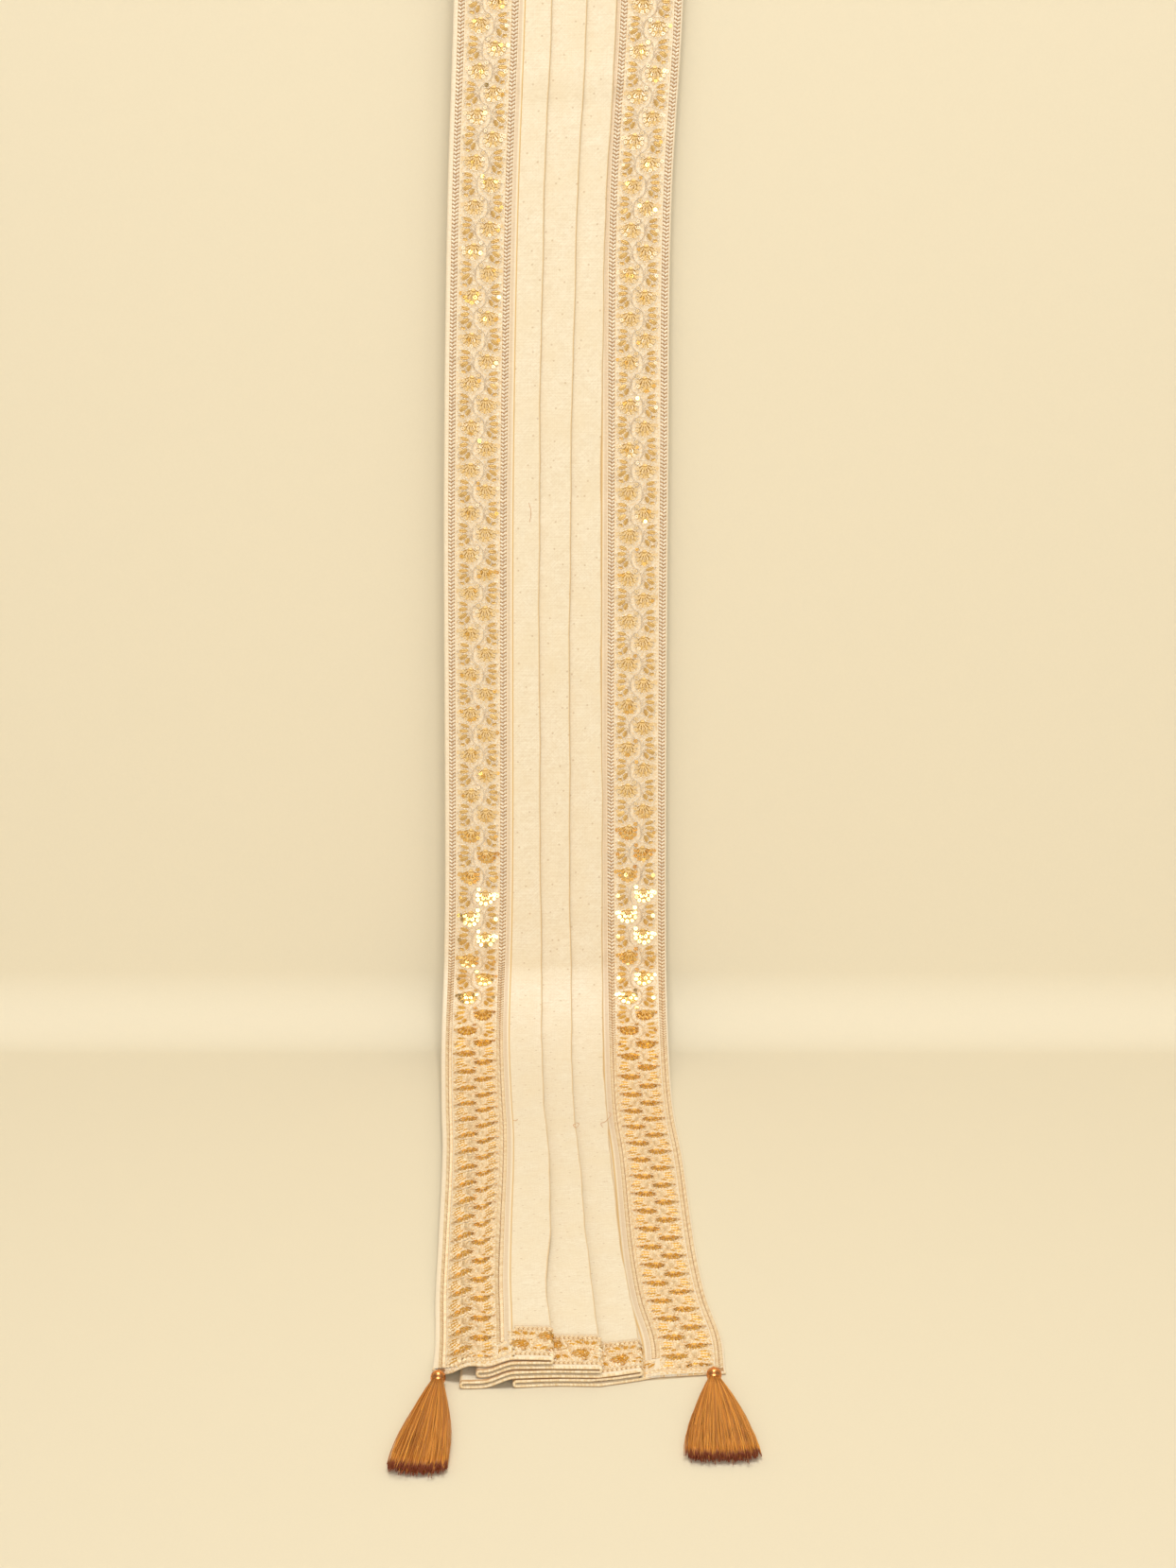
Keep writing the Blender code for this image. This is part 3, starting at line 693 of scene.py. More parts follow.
def tassel_silk():
    """Floss: the flat map's first value is random for each thread, the second runs down it."""
    material, wire = start("tassel_silk")
    flat = wire.flat_map()
    colour = flat.part(0).mixed(rgb(172, 96, 16), rgb(232, 158, 54))
    # Painted shade at the threads' cut ends
    colour = flat.part(1).limited(0.935, 0.985).mixed(colour, rgb(122, 52, 18))
    fibres = flat.scaled(40.0, 30.0).noise(1.0, 2.0)
    return finish(
        material,
        {"Base Color": colour, "Normal": fibres.bump(0.3, 0.0002),
         "Roughness": wire.tone() * 0.2 + 0.38},
        {"Sheen Weight": 0.4, "Sheen Roughness": 0.3, "Sheen Tint": rgb(240, 180, 110),
         "Anisotropic": 0.4},
    )


def copper_metal():
    """Turned copper, a little scuffed."""
    material, wire = start("copper")
    scuff = wire.node("ShaderNodeTexCoord", (), (), 3).noise(900.0, 3.0)
    return finish(
        material,
        {"Base Color": scuff.limited(0.3, 0.7).mixed(rgb(196, 112, 52), rgb(236, 168, 104)),
         "Roughness": scuff * 0.2 + 0.20},
        {"Metallic": 1.0},
    )


# Dark and light ends, on the floor and then on the hanging stretch. The dark ends colour the
# painted shade of the stitches, and the change from floor to hanging stretch is painted reflected
# light.
CORD_THREAD = metal_thread("cord_thread", (rgb(200, 146, 66), rgb(250, 234, 198)),
                           (rgb(160, 128, 98), rgb(254, 243, 220)), 0.12, 0.42)
GOLD_THREAD = metal_thread("gold_thread", (rgb(204, 140, 24), rgb(220, 172, 70)),
                           (rgb(170, 126, 64), rgb(230, 196, 128)), 0.35, 0.38)
SEQUIN_GOLD = sequin_foil()
TASSEL_SILK = tassel_silk()
COPPER = copper_metal()
print("threads:", CORD_THREAD.name, GOLD_THREAD.name, SEQUIN_GOLD.name, TASSEL_SILK.name)

# %% [markdown]
# ## The folded cloth
# One shell carries the silk through all seven layers. It could be a surface with a Solidify
# modifier, but the folds are tighter than that modifier likes. The line is therefore moved out
# to both sides, which keeps the wall even round a fold of under a millimetre.

# %% The cloth's shell
BEND_TOP = FLOOR_RUN + BEND["run"][-1]
# From where to where up from the hem, and how many stations
STRETCHES = [(0.0, 0.012, 5), (0.012, BORDER, 10), (BORDER, FLOOR_RUN, 58),
             (FLOOR_RUN, BEND_TOP, 46), (BEND_TOP, LENGTH - BORDER, 112),
             (LENGTH - BORDER, LENGTH, 9)]


def cloth_shell():
    """A ring round the wall for each station, the face one way and the wrong side back."""
    up = np.unique(np.concatenate([np.linspace(*stretch) for stretch in STRETCHES]))
    line, folds = section(up)
    rows, columns = line.shape[:2]
    upper = placed(moved_out(line, CLOTH_THICK / 2), up)
    lower = placed(moved_out(line, -CLOTH_THICK / 2), up)
    points = np.concatenate([upper, lower[:, ::-1]], axis=1)
    across = run_along(line[..., :2])
    flat = np.stack([across, np.broadcast_to(up[:, None], across.shape)], axis=2)
    flat = np.concatenate([flat, flat[:, ::-1]], axis=1)
    ring = 2 * columns
    # Each end is closed with quads from the face's line to the wrong side's
    a = np.arange(columns - 1)
    quad = np.stack([a, ring - 1 - a, ring - 2 - a, a + 1], axis=1)
    ends = [quad, quad[:, ::-1] + (rows - 1) * ring]
    # The tone is the sine of each fold's turn, where the material paints shade
    tone = np.broadcast_to(np.concatenate([folds, folds[::-1]]), (rows, ring))
    return piece("folded_cloth", points, [grid_faces(rows, ring, wrap=True), *ends], CREAM_SILK,
                 flat, tone)


CLOTH = cloth_shell()
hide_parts("cloth")

# %% [markdown]
# ## A map from the flat strip to the folded one
# Embroidery is worked on flat cloth, so it is drawn flat here too: across a strip, along it, and
# height over the silk. A Shrinkwrap modifier could press it on, but it would smear the stitches
# round the folds. A ribbon holds the folded surface on a fine grid. Any flat point is then
# placed by blending the four grid points round it and going out along the normal.

# %% Ribbons
def ribbon(up, across, from_right=False):
    """The cloth's middle surface and normals at each (up, across) of a fine grid."""
    line, _ = section(up)
    sides = normals(line)
    if from_right:
        line, sides = line[:, ::-1], sides[:, ::-1]
    arc = run_along(line[..., :2])
    if across[-1] > WIDTH / 2:
        arc *= WIDTH / arc[:, -1:]
    both = np.concatenate([line, sides], axis=2)
    at = np.array([[np.interp(across, arc[k], both[k, :, c]) for c in range(5)]
                   for k in range(len(up))]).transpose(0, 2, 1)
    side = unit(at[..., 3:])
    heading = np.interp(up, UP, HEADING)[:, None]
    normal = np.stack([side[..., 0], -side[..., 1] * np.cos(heading),
                       side[..., 1] * np.sin(heading)], axis=2)
    grid = np.concatenate([placed(at[..., :3], up), normal], axis=2)
    return {"up": up, "across": across, "grid": grid}


def on_ribbon(strip, across, up, height):
    """Places flat points: the four grid points round each are blended, plus height x normal."""
    i = (up - strip["up"][0]) / (strip["up"][1] - strip["up"][0])
    j = (across - strip["across"][0]) / (strip["across"][1] - strip["across"][0])
    grid = strip["grid"]
    i0 = np.clip(i.astype(int), 0, grid.shape[0] - 2)
    j0 = np.clip(j.astype(int), 0, grid.shape[1] - 2)
    f, g = (i - i0)[..., None], (j - j0)[..., None]
    both = ((1 - f) * (1 - g) * grid[i0, j0] + (1 - f) * g * grid[i0, j0 + 1]
            + f * (1 - g) * grid[i0 + 1, j0] + f * g * grid[i0 + 1, j0 + 1])
    return both[..., :3] + np.asarray(height)[..., None] * both[..., 3:]


REACH = BORDER + 0.004
SIDE_GRID = (np.linspace(0.0, LENGTH, 763), np.linspace(0.0, REACH, 45))
ALL_ACROSS = np.linspace(0.0, WIDTH, 1780)
RIBBONS = {
    "left": ribbon(*SIDE_GRID),
    "right": ribbon(*SIDE_GRID, from_right=True),
    "hem": ribbon(np.linspace(0.0, REACH, 34), ALL_ACROSS),
    "top": ribbon(np.linspace(LENGTH - REACH, LENGTH, 34), ALL_ACROSS),
}
print("ribbons:", {name: strip["grid"].shape[:2] for name, strip in RIBBONS.items()})

# %% [markdown]
# ## The four borders
# Each border is a strip of satin sewn on flat. It lies in its own frame: out, its distance from
# the stole's edge, and along. One function makes across and up of those two, so that one drawing
# serves all four. On two of the borders that turns the strip over, and its faces with it.

# %% The frame of each border
# Whether the strip is turned over, and from where to where along it is sewn on
BORDERS = {
    "left": (False, 0.0, LENGTH),
    "right": (True, 0.0, LENGTH),
    "hem": (True, BORDER, WIDTH - BORDER),
    "top": (False, BORDER, WIDTH - BORDER),
}
PATTERN_OUT = {"left": 0.0, "right": 0.0026, "hem": 0.0, "top": 0.0}  # nearer the edge by
STRIP_STEP = {"left": 0.0055, "right": 0.0055, "hem": 0.0016, "top": 0.0016}
STRIP_LOW = 0.00055
STRIP_HIGH = 0.0017
ROUNDING = 0.0016
# The strip's top is pressed down a little under the braids and over the field
DIPS = np.array(
    [(0.0035, 0.0), (0.0046, 3e-4), (0.0056, 3e-4), (0.0098, 3e-4), (0.0107, 1e-4),
     (0.0200, 2e-4), (0.0300, 2e-4), (0.0400, 2e-4), (0.0495, 1e-4), (0.0503, 3e-4),
     (0.0553, 3e-4), (0.0562, 1e-4), (0.0590, 0.0)],
    dtype=[("out", float), ("dip", float)],
)


def on_border(name, out, along, height):
    """Places points given by out, along and height over the silk."""
    if name in ("left", "right"):
        return on_ribbon(RIBBONS[name], out, along, height)
    return on_ribbon(RIBBONS[name], along, out if name == "hem" else LENGTH - out, height)


def turned(faces, flip):
    """Faces with their corners in the other order where the strip is turned over."""
    return faces[:, ::-1] if flip else faces


def strip_profile(shift):
    """Round the strip's cut: its top with rounded edges, then its flat back. out and height."""
    inner = BORDER - 0.0006
    bow = np.linspace(0.0, math.pi / 2, 5)
    first_out = 0.0002 + ROUNDING * (1 - np.cos(bow))
    first_up = STRIP_LOW + (STRIP_HIGH - STRIP_LOW) * np.sin(bow)
    top_out = DIPS["out"] - shift
    top_up = (STRIP_HIGH - DIPS["dip"])[top_out > first_out[-1] + 0.0001]
    top_out = top_out[top_out > first_out[-1] + 0.0001]
    last_out = inner - 0.0012 * (1 - np.cos(bow[::-1]))
    last_up = STRIP_LOW + (STRIP_HIGH - 0.0002 - STRIP_LOW) * np.sin(bow[::-1])
    back = np.linspace(inner - 0.002, 0.002, 6)
    out = np.concatenate([first_out, top_out, last_out, back])
    return out, np.concatenate([first_up, top_up, last_up, np.full(6, STRIP_LOW)])


def border_shell(name):
    """The strip's cut carried along the border, and closed at both ends."""
    flip, first, last = BORDERS[name]
    out, height = strip_profile(PATTERN_OUT[name])
    count = int((last - first) / STRIP_STEP[name])
    o, a = np.meshgrid(out, np.linspace(first + 0.0001, last - 0.0001, count))
    points = on_border(name, o, a, np.broadcast_to(height, o.shape))
    faces = [turned(part, flip) for part in tube_faces(*o.shape)]
    flat = np.stack([o + PATTERN_OUT[name], a], axis=2)
    made = piece(f"border_{name}_strip", points, faces, IVORY_SATIN,
                 flat, sharp=50)
    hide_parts(f"border_{name}")
    return made


STRIPS = {name: border_shell(name) for name in BORDERS}

# %% [markdown]
# ## The embroidery's drawing
# One repeat is 38.4 mm long. A cord winds along the border. In each of its bays a flower opens
# to one side, with a spray of leaves opposite, and the next half repeat is the same thing
# turned over. A curve is a list of points made by a formula: a wave for the stem, an arc with
# scallops for the flower, two bows for a leaf, a coil for a bud. Formulas can be stretched and
# thinned until they sit as in the photograph, and nothing has to be traced.

# %% The curves of half a repeat
REPEAT = 0.0384
STEM_SWING = 0.0051
STEM_SHARP = 1.6
FLOWER_FOOT = np.array([0.0062, 0.0068])
FLOWER_TURN = -84.0
FLOWER_FAN = 66.0
FLOWER_REACH = 0.0148
PETALS = 6
LEAVES = np.array(
    [(-0.0074, 0.0066, 160.0, 0.0112, 0.0023), (-0.0076, 0.0036, 184.0, 0.0116, 0.0024),
     (-0.0084, 0.0002, 212.0, 0.0118, 0.0026), (-0.0076, -0.0022, 246.0, 0.0096, 0.0024),
     (0.0100, 0.0090, 14.0, 0.0078, 0.0019)],
    dtype=[("aside", float), ("along", float), ("turn", float), ("long", float), ("half", float)],
)
# Each twig's start on the stem, the pull of its bend, and its end at a leaf's foot
TWIGS = [
    ((-0.0051, 0.0022), (-0.0062, 0.0056), (-0.0074, 0.0066)),
    ((-0.0052, -0.0010), (-0.0062, 0.0026), (-0.0076, 0.0036)),
    ((-0.0048, -0.0055), (-0.0066, 0.0000), (-0.0084, 0.0002)),
    ((0.0030, 0.0098), (0.0066, 0.0102), (0.0100, 0.0090)),
]
STEM_TONE, OUTLINE_TONE, TWIG_TONE = 0.76, 0.88, 0.78


def turned_by(points, degrees):
    """Flat points turned about the origin."""
    c, s = math.cos(math.radians(degrees)), math.sin(math.radians(degrees))
    return points @ np.array([[c, s], [-s, c]])


def stem_curve():
    """aside = -swing x tanh(sharp x cos(2 pi along / repeat)), beside the flower."""
    along = np.linspace(-REPEAT / 4, REPEAT / 4, 25)
    wave = np.tanh(STEM_SHARP * np.cos(2 * math.pi * along / REPEAT)) / math.tanh(STEM_SHARP)
    return np.stack([-STEM_SWING * wave, along], axis=1)


def petal_reach(share):
    """How far the flower reaches at a share of its fan, -1 to 1: less to the sides."""
    return FLOWER_REACH * (1.0 - np.where(share < 0, 0.48, 0.30) * share ** 2)


def fan_point(share, reach):
    """A point of the flower: its foot plus the reach in the fan's direction."""
    turn = np.radians(FLOWER_TURN + FLOWER_FAN * np.asarray(share, float))
    way = np.stack([np.cos(turn), np.sin(turn)], axis=-1)
    return FLOWER_FOOT + way * np.asarray(reach)[..., None]


def flower_curve():
    """Round the fan, the reach waving once for each petal, and back to the foot on both sides."""
    share = np.linspace(-1.0, 1.0, 46)
    wave = np.abs(np.cos(share * math.pi / 2 * PETALS + math.pi / 2 * (PETALS - 1)))
    arc = fan_point(share, petal_reach(share) * (0.90 + 0.10 * wave))
    foot = np.linspace(0.25, 1.0, 7)[:-1, None]
    first = FLOWER_FOOT + (arc[0] - FLOWER_FOOT) * foot
    last = FLOWER_FOOT + (arc[-1] - FLOWER_FOOT) * foot[::-1]
    return np.concatenate([first, arc, last])


def leaf_curve(leaf):
    """Two bows from the stalk to the tip and back: half width x sin(pi t) to each side."""
    t = np.linspace(0.0, 1.0, 9)
    half = leaf["half"] * np.sin(math.pi * t ** 0.85)
    there = np.stack([leaf["long"] * t, half], axis=1)
    back = np.stack([leaf["long"] * t, -half], axis=1)[::-1]
    both = np.concatenate([there, back[1:]])
    return turned_by(both, leaf["turn"]) + (leaf["aside"], leaf["along"])


def bud_curve():
    """A coil of one and a half turns whose radius shrinks evenly."""
    t = np.linspace(0.0, 1.0, 17)
    angle = 2.4 + t * 3.0 * math.pi
    radius = 0.0030 * (1 - 0.75 * t)
    return np.stack([0.0004 + radius * np.cos(angle), 0.0074 + radius * np.sin(angle)], axis=1)


def rib_curve(share):
    """A straight cord between two petals."""
    reach = petal_reach(np.array([share]))[0]
    return fan_point(np.full(5, share), np.linspace(0.28, 0.90, 5) * reach)


def twig_curve(start_at, bend_at, end_at):
    """A quadratic curve through its bend's pull: (1-t)^2 a + 2t(1-t) b + t^2 c."""
    t = np.linspace(0.0, 1.0, 8)[:, None]
    a, b, c = (np.array(p) for p in (start_at, bend_at, end_at))
    return (1 - t) ** 2 * a + 2 * t * (1 - t) * b + t * t * c


# Each cord's curve, radius and tone
HALF_REPEAT = [
    (stem_curve(), 0.00074, STEM_TONE),
    (flower_curve(), 0.00072, OUTLINE_TONE),
    (bud_curve(), 0.00066, OUTLINE_TONE),
    *((twig_curve(*twig), 0.00062, TWIG_TONE) for twig in TWIGS),
    *((leaf_curve(leaf), 0.00062, OUTLINE_TONE) for leaf in LEAVES),
    *((rib_curve(s), 0.00050, OUTLINE_TONE) for s in np.linspace(-0.67, 0.67, PETALS - 1)),
]
cord_length = sum(run_along(curve)[-1] for curve, _, _ in HALF_REPEAT)
print(f"{len(HALF_REPEAT)} curves, {2 * cord_length * 1000:.0f} mm of cord in a repeat")

# %% [markdown]
# ## Cords
# A couched cord is a thread laid on the cloth and tied down. A bevelled curve could draw it, but
# a whole border of those would be far too heavy, so it is a three-sided tube whose height swells
# and sinks every two steps, which reads as the knots of a chain stitch. The points of a curve
# are first spaced evenly, so that the knots are all one size.

# %% Flat cords, drawn once and repeated
CORD_STEP = 0.00128
KNOT_SWELL = 0.32
CORD_RISE = 1.7
BRAID_COVER = 0.0045
UNEVEN = 0.0003


def evenly(curve, step):
    """The curve's points moved to equal distances along it."""
    run = run_along(curve)
    at = np.linspace(0.0, run[-1], max(3, round(run[-1] / step) + 1))
    return np.stack([np.interp(at, run, curve[:, 0]), np.interp(at, run, curve[:, 1])], axis=1)


def flat_cord(curve, radius, tone):
    """Points (aside, along, height, tone) and faces of a three-sided cord along a flat curve."""
    middle = evenly(curve, CORD_STEP)
    run = unit(np.gradient(middle, axis=0))
    side = np.stack([-run[:, 1], run[:, 0]], axis=1)
    turn = (-1.0) ** np.arange(len(middle))
    knot = radius * (1.0 + KNOT_SWELL * turn)
    low = np.zeros(len(middle))
    # The tone is 0.28 lower at the cord's foot, painted shade, and higher on every swelling knot,
    # a painted highlight.
    edge, ridge = tone - 0.28 + 0.1 * turn, tone + 0.2 * turn
    rings = np.stack([
        np.column_stack([middle - side * knot[:, None], low, edge]),
        np.column_stack([middle + side * knot[:, None], low, edge]),
        np.column_stack([middle, knot * CORD_RISE, ridge]),
    ], axis=1)
    return (rings.reshape(-1, 4), *tube_faces(len(middle), 3))


def joined(parts):
    """Several (points, quads, triangles) as one."""
    starts = np.cumsum([0] + [len(points) for points, _, _ in parts])
    points, quads, triangles = zip(*parts)
    return (np.concatenate(points), np.concatenate([q + s for q, s in zip(quads, starts)]),
            np.concatenate([t + s for t, s in zip(triangles, starts)]))


def whole_repeat(half):
    """Half a repeat, and the same half a repeat on, turned over from side to side."""
    points, quads, triangles = half
    over = points * (-1.0, 1.0, 1.0, 1.0) + (0.0, REPEAT / 2, 0.0, 0.0)
    return joined([half, (over, quads[:, ::-1], triangles[:, ::-1])])


def off_the_braids(out, along):
    """True for a point of an end border that no side braid covers."""
    inside = np.minimum(along, WIDTH - along) > BRAID_IN + BRAID_COVER
    return inside | (out < BRAID_STOP - 0.001)


def laid_along(repeat, first, last, phase, ends, drift, block=1):
    """A repeat laid from first to last, and cut off there like a strip cut from a long piece.

    Points in one block, such as the eight of a stitch, stay or go together. The drift lengthens
    or shortens the repeat a little from place to place, and slow waves of both distances push
    the points about, so that no two repeats are alike."""
    points, *faces = repeat
    count = math.ceil((last - phase) / REPEAT) + 2
    many = np.repeat(points[None], count, axis=0)
    many[..., 1] += (phase - REPEAT * 3 / 4 + np.arange(count) * REPEAT)[:, None]
    if drift:
        many[..., 1] += smooth_between(many[..., 1], np.array(drift[0]), np.array(drift[1]))
    a, v = many[..., 0].copy(), many[..., 1].copy()
    many[..., 0] += FIELD_MIDDLE + UNEVEN * (np.sin(v * 263 + a * 190) + np.sin(v * 97 + 1.0))
    many[..., 1] += UNEVEN * (np.sin(v * 211 + a * 310 + 2.0) + np.sin(v * 61))
    many = many.reshape(-1, points.shape[1])
    kept = (many[:, 1] > first) & (many[:, 1] < last)
    if ends:
        kept &= off_the_braids(many[:, 0], many[:, 1])
    kept = kept.reshape(-1, block).all(axis=1).repeat(block)
    out = [many]
    for part in faces:
        step = np.arange(count)[:, None, None] * len(points)
        part = (part[None] + step).reshape(-1, part.shape[1])
        out.append(part[kept[part].all(axis=1)])
    return out


NO_QUADS = np.zeros((0, 4), int)
NO_TRIANGLES = np.zeros((0, 3), int)
CORD_UNIT = whole_repeat(joined([flat_cord(*cord) for cord in HALF_REPEAT]))
print(f"cords of one repeat: {2 * len(CORD_UNIT[1]) + len(CORD_UNIT[2])} triangles")

# %% [markdown]
# ## Petals, leaves and braid stitches
# Satin stitch fills a petal with threads laid side by side, which makes a smooth boat-shaped
# mound. Modelling each thread would cost a hundred times as much and hardly show, so eight points
# make one mound: two tips, and a ridge between two sides. The braids are rows of the same mound,
# slanted to and fro like a plait.

# %% Mounds of satin stitch
MOUND_FACES = np.array([
    [0, 2, 3], [0, 3, 4], [2, 5, 6], [2, 6, 3], [3, 6, 7], [3, 7, 4], [5, 1, 6], [6, 1, 7],
    [0, 4, 2], [2, 4, 5], [4, 7, 5], [5, 7, 1],
])
PETAL_WIDE, PETAL_HIGH = 0.0046, 0.0011
# Low dark mounds between the petals: painted shade
GAP_SHADE_WIDE, GAP_SHADE_HIGH, GAP_SHADE_BASE = 0.0012, 0.0006, 0.0008
HEART = (6.0, 0.0062, 0.0032, 0.0012, 0.7)  # turn, long, wide, high and tone
LEAF_HIGH = 0.0009
PLAIT_HALF = 0.00145
PLAIT_TURN = 42.0
PLAIT_STITCH = (0.0040, 0.0022, 0.0013)  # long, wide and high


def mounds(middle, turn, long, wide, high, tone, base=0.0):
    """Eight points each: two tips, and at -0.45 and 0.45 a left, a ridge and a right point."""
    t = np.array([-1.0, 1.0, -0.45, -0.45, -0.45, 0.45, 0.45, 0.45])
    w = np.array([0.0, 0.0, -1.0, 0.0, 1.0, -1.0, 0.0, 1.0])
    r = np.array([0.15, 0.15, 0.0, 1.0, 0.0, 0.0, 1.0, 0.0])
    middle = np.asarray(middle, float).reshape(-1, 2)
    turn, long, wide, high, tone = (np.broadcast_to(value, len(middle))[:, None]
                                    for value in (turn, long, wide, high, tone))
    x, y = t * long / 2, w * wide / 2
    c, s = np.cos(np.radians(turn)), np.sin(np.radians(turn))
    # The tone is lower at the sides and tips than on the ridge: painted shade
    points = np.stack([middle[:, :1] + c * x - s * y, middle[:, 1:] + s * x + c * y,
                       base + r * high + 0 * x, tone - 0.3 * (1 - r)], axis=2)
    faces = MOUND_FACES[None] + 8 * np.arange(len(points))[:, None, None]
    return points.reshape(-1, 4), faces.reshape(-1, 3)


def stacked(parts):
    """Several (points, triangles) as one."""
    points, _, faces = joined([(p, NO_QUADS, f) for p, f in parts])
    return points, faces


def gold_half():
    """The flower's petals, dark mounds of painted shade between them, its heart, and two rows in
    each leaf.
    """
    share = np.linspace(-0.84, 0.84, PETALS)
    reach = petal_reach(share)
    turn = FLOWER_TURN + FLOWER_FAN * share
    parts = [
        mounds(fan_point(share, 0.58 * reach), turn, 0.84 * reach, PETAL_WIDE, PETAL_HIGH, 0.85),
        mounds(fan_point(share, 0.50 * reach), turn, 0.40 * reach, GAP_SHADE_WIDE, GAP_SHADE_HIGH, -0.1,
               GAP_SHADE_BASE),
        mounds([FLOWER_FOOT + (0.0, -0.0018)], *HEART),
    ]
    for leaf in LEAVES:
        turn = math.radians(leaf["turn"])
        way = np.array([math.cos(turn), math.sin(turn)])
        cross = np.array([-math.sin(turn), math.cos(turn)])
        middle = np.array([leaf["aside"], leaf["along"]]) + way * leaf["long"] * 0.5
        for side in (-1, 1):
            parts.append(mounds([middle + cross * side * leaf["half"] * 0.36],
                                leaf["turn"] + side * 4.0, leaf["long"] * 0.88,
                                leaf["half"] * 1.10, LEAF_HIGH, 0.75 - 0.25 * side))
    return stacked(parts)


def braid(first, last, out, gauge):
    """Two rows of slanted stitches that meet in a V, like a plait, centred on out."""
    count = int((last - first) / gauge)
    along = first + (np.arange(count) + 0.5) * (last - first) / count
    parts = []
    for side in (-1, 1):
        middle = np.stack([np.full(count, out + side * PLAIT_HALF), along + side * gauge * 0.12],
                          axis=1)
        turn = side * PLAIT_TURN + 4.0 * np.sin(along * 811 + side)
        tone = 1.05 + 0.10 * np.sin(along * 523 + side) * np.sin(along * 47)
        parts.append(mounds(middle, turn, *PLAIT_STITCH, tone, 0.0001))
    return stacked(parts)


points, faces = gold_half()
GOLD_UNIT = whole_repeat((points, NO_QUADS, faces))
print(f"gold of one repeat: {len(GOLD_UNIT[2])} triangles")

# %% [markdown]
# ## Sequins
# A sequin is a flat disc with a hole, sewn down by a thread through its middle. Seven stand round
# a flower's rim, four inside it, and a few strays fill the gaps. Each tilts its own way. A bright
# spot could be painted on, but real foil flashes by its angle: round the bend the sequins of
# whole flowers lean so that they send the lamps' light to the viewer, and their neighbours don't.

# %% Sequins and their places
SEQUIN_RADIUS = 0.00175
SEQUIN_HOLE = 0.00050
SEQUIN_HIGH = 0.0011
SEQUIN_SIDES = 8
SEQUIN_TILT = 0.050
SEQUIN_LEAN = 0.10
LEAN_TOP = (0.875, 0.915)
FLASH_REACH = 0.0085
# The flowers that flash: how far up each stands, and the lean of its sequins as a slope
FLASHES = np.array(
    [("left", 0.7708, 0.070), ("left", 0.7952, 0.210), ("left", 0.8398, -0.280),
     ("left", 0.8595, -0.280), ("left", 0.8791, -0.280), ("right", 0.7795, -0.035),
     ("right", 0.7990, 0.146), ("right", 0.8388, -0.280), ("right", 0.8584, -0.280),
     ("right", 0.8777, -0.250)],
    dtype=[("border", "U5"), ("along", float), ("slope", float)],
)


def sequins(places, lean, seed):
    """Rings of two circles, tilted: height = base + slope . (x, y), slope = random + lean."""
    random = np.random.default_rng(seed)
    angle = circle(SEQUIN_SIDES)
    size = random.uniform(0.9, 1.08, len(places))
    slope = random.normal(0.0, SEQUIN_TILT, (len(places), 2))
    parts = []
    for radius in (SEQUIN_RADIUS, SEQUIN_HOLE):
        x = radius * size[:, None] * np.cos(angle)
        y = radius * size[:, None] * np.sin(angle)
        height = SEQUIN_HIGH + slope[:, :1] * x + (slope[:, 1:] + lean[:, None]) * y
        parts.append(np.stack([places[:, :1] + x, places[:, 1:] + y, height], axis=2))
    points = np.stack(parts, axis=1).reshape(-1, 3)
    ring = grid_faces(2, SEQUIN_SIDES, wrap=True)
    faces = (ring[None] + np.arange(len(places))[:, None, None] * 2 * SEQUIN_SIDES).reshape(-1, 4)
    tone = np.repeat(random.uniform(0.0, 1.0, len(places)), 2 * SEQUIN_SIDES)
    return points, faces, tone


def sequin_places():
    """Where the sequins of half a repeat stand: in the flower, round its rim, and the strays."""
    inner, outer = np.linspace(-0.7, 0.7, 4), np.linspace(-0.92, 0.92, 7)
    strays = np.array([(0.0004, 0.0074), (0.0172, 0.0024), (-0.0160, -0.0004)])
    return np.concatenate([fan_point(inner, 0.52 * petal_reach(inner)),
                           fan_point(outer, 0.85 * petal_reach(outer)), strays])


places = sequin_places()
half_places = np.column_stack([places, np.zeros((len(places), 2))])
SEQUIN_UNIT = whole_repeat((half_places, NO_QUADS, NO_TRIANGLES))
print(f"{len(SEQUIN_UNIT[0])} sequins in a repeat")

# %% [markdown]
# ## Laying the embroidery on the borders
# The flat drawing is repeated along each border and placed through the border's own frame. An
# Array modifier with a curve could do that, but all its repeats would be alike. A hand follows
# its chalk line loosely, so a table of drifts puts the flowers where they stand in the
# photograph. The side borders' vines run the whole length, and the end borders' vines fill the
# width between them. The outer braid goes round all four sides.

# %% Embroidery on all four sides
GROUND = STRIP_HIGH - 0.0003
BRAID_GAUGE = 0.0033
VINE_INSET = 0.0104
VINE_CORNER = -0.0122
# Distances along a side border, and how far the pattern has drifted there
DRIFT = {
    "left": ([0.0, 0.15, 0.28, 0.42, 0.55, 0.68, 0.73, 0.768, 0.807, 0.845, 0.883, 1.114, 1.152,
              1.19, 1.229, LENGTH],
             [-0.011, -0.017, -0.021, -0.022, -0.019, -0.013, -0.009, 0.001, 0.011, 0.013, 0.014,
              0.007, 0.005, 0.001, 0.0, 0.0]),
    "right": ([0.0, 0.40, 0.55, 0.69, 0.75, LENGTH], [-0.020, -0.017, -0.011, -0.003, 0.0, 0.0]),
}
VINE_PHASE = {"left": 0.0117, "right": 0.0021, "hem": 0.0760, "top": 0.0760}
ENDS = ("hem", "top")
# Above this, nine sequins in ten get a flat pale colour instead of metal: painted reflection
REFLECTION_PAINT_FROM, REFLECTION_PAINT_OVER = 0.93, 0.04  # above this, nine sequins in ten are dull
BRIGHT_SHARE = 0.10


